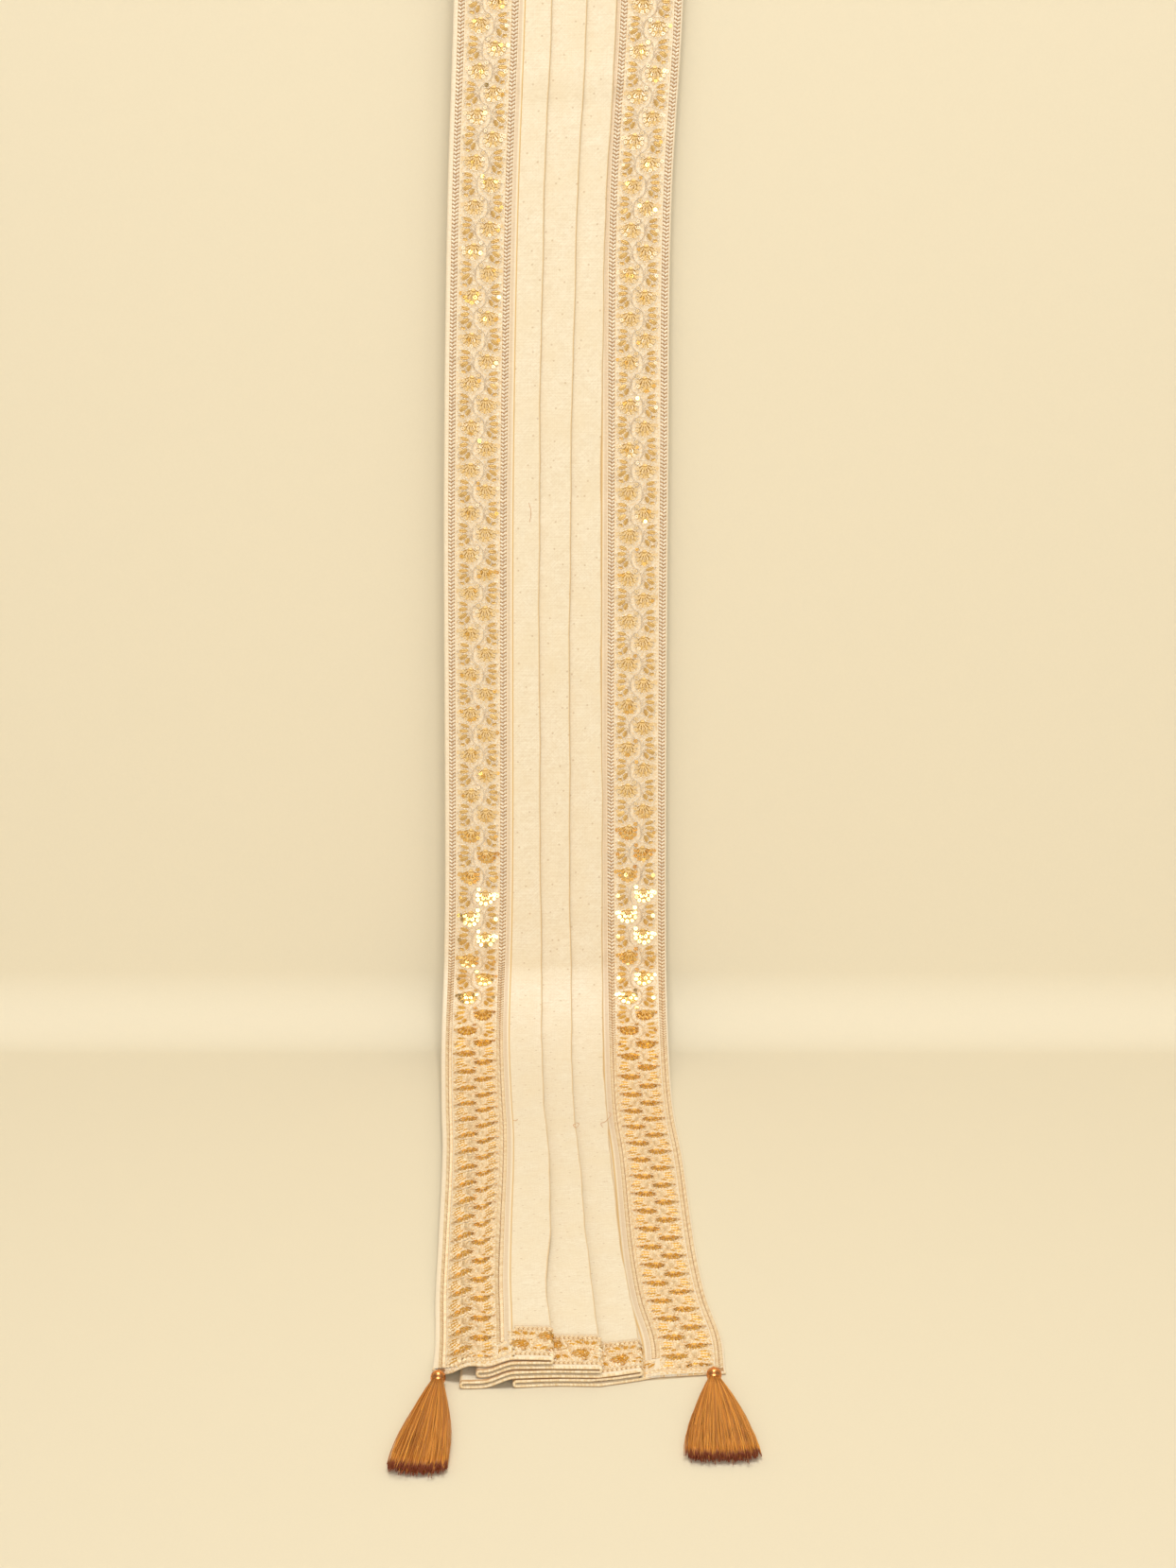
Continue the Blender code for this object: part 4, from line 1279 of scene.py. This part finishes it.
def stitched(name, kind, flat_points, faces, material, tone):
    """Flat points, out and along from the border's edge, as a piece on the folded border."""
    used = np.zeros(len(flat_points), bool)
    for part in faces:
        used[part] = True
    flat_points, tone = flat_points[used], tone[used]
    faces = [turned((np.cumsum(used) - 1)[part], BORDERS[name][0]) for part in faces]
    out = flat_points[:, 0] - PATTERN_OUT[name]
    points = on_border(name, out, flat_points[:, 1], flat_points[:, 2] + GROUND)
    return piece(f"{kind}_{name}", points, faces, material,
                 flat_points[:, :2], tone, sharp=60)


def spotted(points, seed):
    """A shift of tone for each point that changes every few millimetres."""
    random = np.random.default_rng(seed)
    waves = random.uniform(200.0, 900.0, (4, 2))
    total = sum(np.sin(points[:, 0] * a + points[:, 1] * b + k) for k, (a, b) in enumerate(waves))
    return total / 16


def hanging(name, along):
    """0 on the floor and 1 on the hanging stretch, where the metal thread catches less light."""
    return 0.0 * along if name in ENDS else smooth_step((along - 0.70) / 0.16)


def leaning(name, along, seed):
    """The sequins' slopes along a border: a slow wave, a lean on the floor, and the flashes."""
    low = 1.0 - smooth_step((along - LEAN_TOP[0]) / (LEAN_TOP[1] - LEAN_TOP[0]))
    lean = (0.0 if name in ENDS else -SEQUIN_LEAN) * low + 0.03 * np.sin(along * 119 + seed)
    for flower in FLASHES[FLASHES["border"] == name]:
        lean[np.abs(along - flower["along"]) < FLASH_REACH] = flower["slope"]
    return lean


def embroider(name, seed):
    """The cords, the gold and the sequins of one border."""
    _, first, last = BORDERS[name]
    ends = name in ENDS
    inset = VINE_CORNER if ends else VINE_INSET
    reach = (first + inset, last - inset, VINE_PHASE[name], ends, DRIFT.get(name))
    cords, quads, triangles = laid_along(CORD_UNIT, *reach)
    vine = stitched(name, "vine_cord", cords, [quads, triangles], CORD_THREAD,
                    cords[:, 3] + spotted(cords, seed))
    gold, _, triangles = laid_along(GOLD_UNIT, *reach, block=8)
    # The tone rises on the hanging stretch: painted light
    tone = gold[:, 3] - 0.2 + 0.35 * hanging(name, gold[:, 1]) + spotted(gold, seed + 1)
    leaf = stitched(name, "gold_leaf", gold, [triangles], GOLD_THREAD, tone)
    places = laid_along(SEQUIN_UNIT, *reach)[0]
    inside = (places[:, 1] > reach[0] + SEQUIN_RADIUS) & (places[:, 1] < reach[1] - SEQUIN_RADIUS)
    places = places[inside & (not ends or off_the_braids(places[:, 0], places[:, 1]))]
    points, quads, tone = sequins(places[:, :2], leaning(name, places[:, 1], seed), seed + 2)
    # Painted reflection: most sequins on the hanging stretch get a high tone, which is not metal
    hung = 0.0 if ends else smooth_step((points[:, 1] - REFLECTION_PAINT_FROM) / REFLECTION_PAINT_OVER)
    tone = 0.3 * tone + 0.75 * hung * (tone > BRIGHT_SHARE)
    return [vine, leaf, stitched(name, "sequins", points, [quads], SEQUIN_GOLD, tone)]


EMBROIDERY = {name: embroider(name, 10 * k) for k, name in enumerate(BORDERS)}


def braids(name, seed):
    """The outer braid as far as the corners, the inner one as far as the end border's field."""
    _, first, last = BORDERS[name]
    if name in ENDS:
        outer = (BRAID_OUT, WIDTH - BRAID_OUT + PATTERN_OUT["right"], BRAID_OUT)
        inner = (first, last, BRAID_IN)
    else:
        outer = (BRAID_OUT, LENGTH - BRAID_OUT, BRAID_OUT)
        inner = (BRAID_STOP, LENGTH - BRAID_STOP, BRAID_IN)
    points, faces = stacked([braid(*row, BRAID_GAUGE) for row in (outer, inner)])
    uneven = np.random.default_rng(seed).uniform(-0.15, 0.15, len(points) // 8)
    # The tone is lower on the floor: painted light
    tone = points[:, 3] - 0.25 * (1.0 - hanging(name, points[:, 1])) + np.repeat(uneven, 8)
    return stitched(name, "braid", points, [faces], CORD_THREAD, tone)


for number, name in enumerate(BORDERS):
    EMBROIDERY[name].append(braids(name, 100 + number))

# %% [markdown]
# ## Rolled hems
# The hem and the top end are turned under and padded by the border sewn over them, so each
# layer ends in a soft roll. A bevel on the shell's edge would be too thin to see. The roll is
# one tube that follows the folded line through all layers, set a little towards the face, where
# the border is.

# %% The rolls along the two ends
ROLL_RADIUS = 0.00108
ROLL_SHIFT = 0.00058
ROLL_IN = 0.0006
ROLL_SIDES = 10


def end_roll(name, up_at, outwards):
    """A tube round the folded line, moved out and just past the end."""
    line = section(np.array([up_at]))[0][0]
    columns = np.arange(len(line))
    fine = np.linspace(0.0, len(line) - 1.0, 2 * len(line) - 1)
    line = np.stack([np.interp(fine, columns, line[:, c]) for c in range(3)], axis=1)
    side = normals(line[None])[0]
    angle = circle(ROLL_SIDES)
    radius = ROLL_RADIUS * (1.0 + 0.05 * np.sin(np.arange(len(line)) * 1.3))
    out = ROLL_SHIFT + radius[:, None] * np.cos(angle)
    past = outwards * radius[:, None] * np.sin(angle)
    x = line[:, :1] + side[:, :1] * out
    h = line[:, 1:2] + side[:, 1:] * out
    y, z, heading = (float(np.interp(up_at, UP, part)) for part in (PATH_Y, PATH_Z, HEADING))
    points = np.stack(
        [x, y - line[:, 2:] - h * math.cos(heading) - past * math.sin(heading),
         z + h * math.sin(heading) - past * math.cos(heading)], axis=2)
    run = run_along(line[:, :2])
    flat = np.stack([np.broadcast_to(run[:, None], out.shape), up_at + past], axis=2)
    faces = [turned(part, outwards < 0) for part in tube_faces(len(run), ROLL_SIDES)]
    return piece(name, points, faces, ROLLED_EDGE, flat)


HEM_ROLL = end_roll("hem_roll", ROLL_IN, 1.0)
TOP_ROLL = end_roll("top_roll", LENGTH - ROLL_IN, -1.0)

# %% [markdown]
# ## Tassels
# A silk cord comes out of the corner, through a turned copper bead, and opens into hundreds of
# threads. On the floor they fan out flat. Blender's hair could grow them, but the export wants
# meshes. Each thread is a thin three-sided tube along its own path: it leaves the bead's mouth,
# goes out to its place in the fan, and wavers a little.

# %% Sizes of the beads and tassels
BEAD_RADIUS = 0.0055
BEAD_HALF = 0.0046
BEAD_BORE = 0.0017
BEAD_TIP = 32.0
CORD_RADIUS = 0.0013
CORD_RINGS = 12
FLOSS_RADIUS = 0.00036
FLOSS_RINGS = 9
MOUTH = (0.0032, 0.0030)  # half the bundle's width and depth in the bead's mouth
LENGTH_SPREAD = 0.012
SIDE_SHORTER = 0.035
STRAY_SHARE = 0.06
SWAY = (0.0007, 0.0004)
HEM_THREADS, TOP_THREADS = 610, 400
TASSEL_DEPTH = 0.0066
CLEAR = 0.0003  # the beads and cords lie this far above the floor
# From the hem's corner: how far in the cord is sewn, where the bead and the end lie forward and
# across, and how wide the end is
HEM_TASSELS = np.array(
    [("left", 0.005, 0.011, 0.000, 0.161, -0.009, 0.039),
     ("right", 0.009, 0.013, 0.000, 0.149, 0.002, 0.048)],
    dtype=[("side", "U5"), ("inset", float), ("bead_forward", float), ("bead_across", float),
           ("end_forward", float), ("end_across", float), ("end_width", float)],
)
TOP_BEAD_OUT, TOP_BEAD_DOWN = 0.013, 0.012
TOP_DROP, TOP_WIDTH, TOP_DEPTH = 0.150, 0.019, 0.013
TOP_CORD_DOWN = 0.004
print(f"{2 * (HEM_THREADS + TOP_THREADS)} threads in four tassels")


# %% Beads, cords and threads
def corner_point(up_at, from_right, inset):
    """A point of the cloth's middle surface near a corner."""
    strip = ribbon(np.array([up_at, up_at + 1e-4]), np.linspace(0.0, 0.02, 21), from_right)
    return on_ribbon(strip, np.array([inset]), np.array([up_at]), np.array([0.0]))[0]


def tubes(paths, radii, across, deep, sides=3):
    """Tubes of equal numbers of rings: each ring is the path's point plus a turn of the radius."""
    count, rings = paths.shape[:2]
    angle = circle(sides)
    turn = np.cos(angle)[:, None] * across + np.sin(angle)[:, None] * deep
    points = paths[:, :, None] + radii[:, :, None, None] * turn
    quads, caps = tube_faces(rings, sides)
    block = np.arange(count)[:, None, None] * rings * sides
    return (points.reshape(-1, 3), (quads[None] + block).reshape(-1, 4),
            (caps[None] + block).reshape(-1, sides))


def tipped(axis, degrees):
    """A level axis turned down towards the floor."""
    turn = math.radians(degrees)
    return unit(axis * math.cos(turn) - np.array([0.0, 0.0, math.sin(turn)]))


def copper_bead(name, centre, axis):
    """A barrel turned about its axis: radius = bore + wall x sqrt(1 - (0.94 t)^2)."""
    side = unit(np.cross(axis, (0.0, 0.0, 1.0) if abs(axis[2]) < 0.9 else (0.0, 1.0, 0.0)))
    other = np.cross(axis, side)
    t = np.linspace(-1.0, 1.0, 15)
    outer = BEAD_BORE + (BEAD_RADIUS - BEAD_BORE) * np.sqrt(1.0 - (0.94 * t) ** 2)
    radius = np.concatenate([[BEAD_BORE], outer, [BEAD_BORE]])
    height = BEAD_HALF * np.concatenate([[-1.0], t, [1.0]])
    angle = circle(40)
    out = np.cos(angle)[:, None] * side + np.sin(angle)[:, None] * other
    points = centre + radius[None, :, None] * out[:, None] + height[None, :, None] * axis
    # The grid is joined both ways: round the bead, and from its outside back through the bore
    rows, columns = points.shape[:2]
    r = np.arange(rows)[:, None] * columns
    next_r = (r + columns) % (rows * columns)
    c = np.arange(columns)[None]
    next_c = (c + 1) % columns
    faces = np.stack([r + c, next_r + c, next_r + next_c, r + next_c], axis=2).reshape(-1, 4)
    return piece(name, points, [faces], COPPER, sharp=55)


def tassel(name, root, centre, bead_axis, axis, end, across, end_width, end_depth, threads, seed):
    """The cord through the bead and the threads below it, in one mesh."""
    random = np.random.default_rng(seed)
    deep = unit(np.cross(across, axis))
    across = unit(np.cross(deep, axis))
    mouth = centre + bead_axis * BEAD_HALF * 0.8
    t = np.linspace(0.0, 1.0, FLOSS_RINGS)[None]
    # A thread has the same place in the mouth and in the fan, so that threads don't cross much
    place = random.uniform(-1.0, 1.0, (threads, 2))
    place += random.normal(0.0, 0.05, place.shape)
    at_mouth = place * MOUTH
    length = float((end - mouth) @ axis) * (1.0 + random.normal(0.0, LENGTH_SPREAD, threads))
    length *= 1.0 - SIDE_SHORTER * place[:, 0] ** 2
    stray = random.uniform(size=threads) < STRAY_SHARE
    length = np.where(stray, length * random.uniform(1.01, 1.06, threads), length)
    ease = 1.0 - (1.0 - t) ** 1.7
    settle = smooth_step(1.6 * t)
    aside_to = float((end - mouth) @ across) + place[:, 0] * end_width / 2
    lift_to = float((end - mouth) @ deep) + place[:, 1] * end_depth / 2
    aside = at_mouth[:, :1] + (aside_to[:, None] - at_mouth[:, :1]) * ease
    lift = at_mouth[:, 1:] + (lift_to[:, None] - at_mouth[:, 1:]) * settle
    phase = random.uniform(0.0, 6.3, (threads, 2))
    aside += SWAY[0] * np.sin(7.0 * t + phase[:, :1]) * t
    lift += SWAY[1] * np.sin(9.0 * t + phase[:, 1:]) * t * (1 - 0.5 * t)
    paths = (mouth + axis * (length[:, None] * t)[..., None] + across * aside[..., None]
             + deep * lift[..., None])
    radii = np.full((threads, FLOSS_RINGS), FLOSS_RADIUS) * random.uniform(0.8, 1.2, (threads, 1))
    radii[:, -1] *= 0.8
    points, quads, caps = tubes(paths, radii, across, deep)
    tone = np.repeat(random.uniform(0.0, 1.0, threads), FLOSS_RINGS * 3)
    down = np.repeat(np.broadcast_to(t, (threads, FLOSS_RINGS)).reshape(-1), 3)
    # The cord, from the corner through the bead
    t = np.linspace(0.0, 1.0, CORD_RINGS)[:, None]
    near = centre - bead_axis * BEAD_HALF
    bend = near - bead_axis * 0.35 * np.linalg.norm(near - root)
    into = (1 - t) ** 2 * root + 2 * t * (1 - t) * bend + t * t * near
    path = np.concatenate([into, mouth[None]])[None]
    thick = np.full((1, CORD_RINGS + 1), CORD_RADIUS)
    rope, rope_quads, rope_caps = tubes(path, thick, across, deep, 8)
    half = np.full(len(rope), 0.5)
    flat = np.concatenate([np.stack([tone, down], axis=1), np.stack([half, 0.2 * half], axis=1)])
    faces = [quads, rope_quads + len(points), caps, rope_caps + len(points)]
    return piece(name, np.concatenate([points, rope]), faces, TASSEL_SILK, flat,
                 np.concatenate([tone, half]), sharp=0)


def hem_tassel(row, seed):
    """A bead tipped on the floor before the corner, and its threads fanned out flat."""
    side = str(row["side"])
    x, y, z = corner_point(0.0, side == "right", row["inset"])
    centre = np.array([x + row["bead_across"], y - row["bead_forward"],
                       FLOOR + BEAD_RADIUS + CLEAR])
    root = np.array([x, y - CORD_RADIUS / 2, max(z, FLOOR + CORD_RADIUS + CLEAR)])
    end = np.array([x + row["end_across"], y - row["end_forward"],
                    FLOOR + 0.0004 + TASSEL_DEPTH / 2])
    level = unit((end - centre) * (1.0, 1.0, 0.0))
    across = np.cross(level, (0.0, 0.0, 1.0))
    down = tipped(level, BEAD_TIP)
    bead = copper_bead(f"copper_bead_hem_{side}", centre, down)
    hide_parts(f"bead_hem_{side}")
    made = tassel(f"silk_tassel_hem_{side}", root, centre, down, level, end, across,
                  row["end_width"], TASSEL_DEPTH - 0.0012, HEM_THREADS, seed)
    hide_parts(f"tassel_hem_{side}")


def top_tassel(side, seed):
    """A bead and tassel that hang straight down beside a top corner."""
    way = -1.0 if side == "left" else 1.0
    corner = corner_point(LENGTH - TOP_CORD_DOWN, side == "right", 0.0)
    root = corner + np.array([way * 0.0005, 0.0, 0.0])
    centre = corner + np.array([way * TOP_BEAD_OUT, 0.0, -TOP_BEAD_DOWN])
    axis = np.array([0.0, 0.0, -1.0])
    bead = copper_bead(f"copper_bead_top_{side}", centre, axis)
    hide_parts(f"bead_top_{side}")
    made = tassel(f"silk_tassel_top_{side}", root, centre, axis, axis, centre + axis * TOP_DROP,
                  np.array([1.0, 0.0, 0.0]), TOP_WIDTH, TOP_DEPTH, TOP_THREADS, seed)
    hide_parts(f"tassel_top_{side}")


for number, row in enumerate(HEM_TASSELS):
    hem_tassel(row, 41 + number)
    top_tassel(str(row["side"]), 51 + number)

# %% [markdown]
# ## Loose threads
# Hand work leaves traces: tacking knots that hold the folds together near the hem, and a few
# thread ends that were never cut. They could be painted on the silk, but a real thread casts a
# shadow. Each is a thin tube laid on the panel that it lies on.

# %% Knots and thread ends
THREAD_RADIUS = 0.00016
KNOT_RADIUS = 0.0007
# Points (x, up, height) of each thread, the layer it lies on, and its radius
THREADS = [
    ([(-0.0290, 0.012, 2e-4), (-0.0272, 0.0135, 8e-4), (-0.0255, 0.0125, 2e-4)], 0, KNOT_RADIUS),
    ([(-0.0292, 0.030, 2e-4), (-0.0274, 0.0315, 8e-4), (-0.0256, 0.0305, 2e-4)], 0, KNOT_RADIUS),
    ([(0.0335, 0.020, 2e-4), (0.0350, 0.023, 8e-4), (0.0365, 0.026, 2e-4)], 4, KNOT_RADIUS),
    ([(0.0170, 0.566, 1e-4), (0.0195, 0.556, 1e-3), (0.0150, 0.540, 4e-4),
      (0.0110, 0.533, 1e-3), (0.0125, 0.524, 2e-4)], 4, THREAD_RADIUS),
    ([(-0.0640, 0.512, 1e-4), (-0.0612, 0.508, 8e-4), (-0.0590, 0.514, 2e-4)], 0, THREAD_RADIUS),
    ([(-0.0100, 0.520, 1e-4), (-0.0075, 0.514, 1e-3), (-0.0100, 0.506, 8e-4),
      (-0.0125, 0.512, 1e-3), (-0.0102, 0.5165, 2e-4)], 2, THREAD_RADIUS),
    ([(-0.0520, 1.240, 1e-4), (-0.0500, 1.232, 12e-4), (-0.0512, 1.222, 2e-4)], 0, THREAD_RADIUS),
]


def panel_point(x, up_at, layer, out):
    """A point over one layer: its x, and its height read off the section, plus a distance out."""
    line, folds = section(np.array([up_at]))
    flat_part = np.flatnonzero(folds == 0)
    runs = np.split(flat_part, np.flatnonzero(np.diff(flat_part) > 1) + 1)
    part = line[0, runs[layer]]
    part = part[np.argsort(part[:, 0])]
    height = np.interp(x, part[:, 0], part[:, 1]) + CLOTH_THICK / 2 + out
    forward = np.interp(x, part[:, 0], part[:, 2])
    return placed(np.array([[[x, height, forward]]]), np.array([up_at]))[0, 0]


def thread(places, layer, radius, sides=5):
    """A tube through a smooth curve over (x, up, height) knots, thinner at its two ends."""
    places = np.array(places, float)
    knots = np.arange(len(places), dtype=float)
    t = np.linspace(0.0, knots[-1], 8 * (len(places) - 1) + 1)
    smooth = np.stack([smooth_between(t, knots, places[:, c]) for c in range(3)], axis=1)
    path = np.array([panel_point(x, up_at, layer, out) for x, up_at, out in smooth])
    run = unit(np.gradient(path, axis=0))
    side = unit(np.cross(run, (0.3, -0.5, 0.81)))
    other = np.cross(run, side)
    angle = circle(sides)[:, None]
    thick = radius * np.sqrt(np.clip(1.0 - np.linspace(-0.98, 0.98, len(path)) ** 8, 0.05, 1.0))
    rings = path[:, None] + thick[:, None, None] * (
        np.cos(angle) * side[:, None] + np.sin(angle) * other[:, None])
    return (rings.reshape(-1, 3), *tube_faces(len(path), sides))


points, quads, caps = joined([thread(*one) for one in THREADS])
LOOSE = piece("loose_threads", points, [quads, caps], TASSEL_SILK,
              np.full((len(points), 2), 0.3), np.full(len(points), 0.5), sharp=0)

# %% [markdown]
# ## What is a sheet of cloth
# The cloth and the four border strips are the sheets of cloth, and their number is printed. The
# embroidery and the hems' rolls are sewn to them, so they go with them.

print("declared", 1 + len(STRIPS), "sheets")

# %% [markdown]
# ## Studio
# The picture was taken on seamless paper: a wall close behind the stole that curves into the
# floor. The light is high and soft from all sides, so shadows are faint. One sheet of paper, a
# bright sky and three large lamps do the same.

# %% Sizes of the paper, lamps and lens
WALL_Y = 0.026
COVE = 0.060
FLOOR_GAP = 0.0004
PHOTO_HIGH = 1659
FOCAL_PIXELS = 4000.0
SENSOR = 36.0
CAMERA_PITCH = 14.5
CAMERA_HEIGHT = 1.090
CAMERA_DISTANCE = 3.2763
DAYLIGHT = (1.0, 0.985, 0.96)
SKY = 0.365
MIDDLE = (0.0, -0.1, FLOOR + 0.5)
# Each lamp's place, what it faces, its width and height, and its watts
LAMPS = {
    "lamp_key": ((-0.5, -5.2, FLOOR + 1.45), MIDDLE, 1.6, 2.4, 82.0),
    "lamp_fill": ((0.7, -5.0, FLOOR + 1.3), MIDDLE, 1.6, 1.6, 53.0),
    "lamp_above": ((0.1, -1.0, FLOOR + 3.6), (0.0, -0.7, FLOOR), 1.4, 1.2, 65.0),
}
print(f"{len(LAMPS)} lamps, {sum(row[-1] for row in LAMPS.values()):.0f} watts")


# %% Paper, lamps and camera
def paper_sheet():
    """Floor, a quarter circle and wall: one profile carried across."""
    turn = np.linspace(0.0, math.pi / 2, 17)
    y = np.concatenate([[-6.0, -3.0, -1.5], WALL_Y - COVE + COVE * np.sin(turn), [WALL_Y] * 3])
    z = np.concatenate([[0.0] * 3, COVE - COVE * np.cos(turn), [0.6, 1.8, 5.0]])
    x, y = np.meshgrid(np.linspace(-5.0, 5.0, 11), y)
    points = np.stack([x, y, np.broadcast_to(z[:, None] + FLOOR - FLOOR_GAP, x.shape)], axis=2)
    material, wire = start("paper")
    tooth = wire.node("ShaderNodeTexCoord", (), (), 3).noise(600.0, 2.0)
    colour = tooth.limited(0.2, 0.8).mixed(rgb(221, 210, 184), rgb(223, 212, 186))
    finish(material, {"Base Color": colour, "Normal": tooth.bump(0.1, 0.0002)},
           {"Roughness": 0.9, "Specular IOR Level": 0.2})
    mesh = bpy.data.meshes.new("stage_floor")
    mesh.from_pydata(points.reshape(-1, 3).tolist(), [], grid_faces(*x.shape).tolist())
    mesh.shade_smooth()
    mesh.materials.append(material)
    made = bpy.data.objects.new("stage_floor", mesh)
    bpy.context.scene.collection.objects.link(made)


def lamp(name, place, aim, wide, tall, watts):
    """A soft box at a place, turned to face its aim."""
    light = bpy.data.lights.new(name, "AREA")
    light.shape = "RECTANGLE"
    light.size = wide
    light.size_y = tall
    light.energy = watts
    light.color = DAYLIGHT
    made = bpy.data.objects.new(name, light)
    made.location = place
    x, y, z = np.array(aim) - np.array(place)
    made.rotation_euler = (math.atan2(math.hypot(x, y), -z), 0.0, math.atan2(y, x) - math.pi / 2)
    bpy.context.scene.collection.objects.link(made)


paper_sheet()
for name, row in LAMPS.items():
    lamp(name, *row)

world = bpy.data.worlds.new("soft_room")
bpy.context.scene.world = world
world.use_nodes = True
world.node_tree.nodes["Background"].inputs["Color"].default_value = (*DAYLIGHT, 1.0)
world.node_tree.nodes["Background"].inputs["Strength"].default_value = SKY
bpy.context.scene.view_settings.view_transform = "Standard"

lens = bpy.data.cameras.new("camera")
lens.sensor_width = SENSOR
lens.lens = SENSOR * FOCAL_PIXELS / PHOTO_HIGH
camera = bpy.data.objects.new("camera", lens)
camera.location = (0.0, -CAMERA_DISTANCE, FLOOR + CAMERA_HEIGHT)
camera.rotation_euler = (math.radians(90.0 - CAMERA_PITCH), 0.0, 0.0)
bpy.context.scene.collection.objects.link(camera)
bpy.context.scene.camera = camera
low = np.clip(COVE - (PATH_Z - FLOOR), 0.0, COVE)
room = (WALL_Y - COVE + np.sqrt(COVE ** 2 - low ** 2) - PATH_Y)[PATH_Z - FLOOR > 0.002].min()
print(f"room behind the strip: {1000 * room:.1f} mm")
print(f"lens {lens.lens:.1f} mm, {CAMERA_HEIGHT} m above the floor")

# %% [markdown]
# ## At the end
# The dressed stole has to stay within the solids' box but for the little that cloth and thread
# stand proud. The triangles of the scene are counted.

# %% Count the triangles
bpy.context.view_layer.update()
triangles = sum(len(p.vertices) - 2 for o in bpy.context.scene.objects if o.type == "MESH"
                for p in o.data.polygons)
print("triangles in the scene:", triangles)
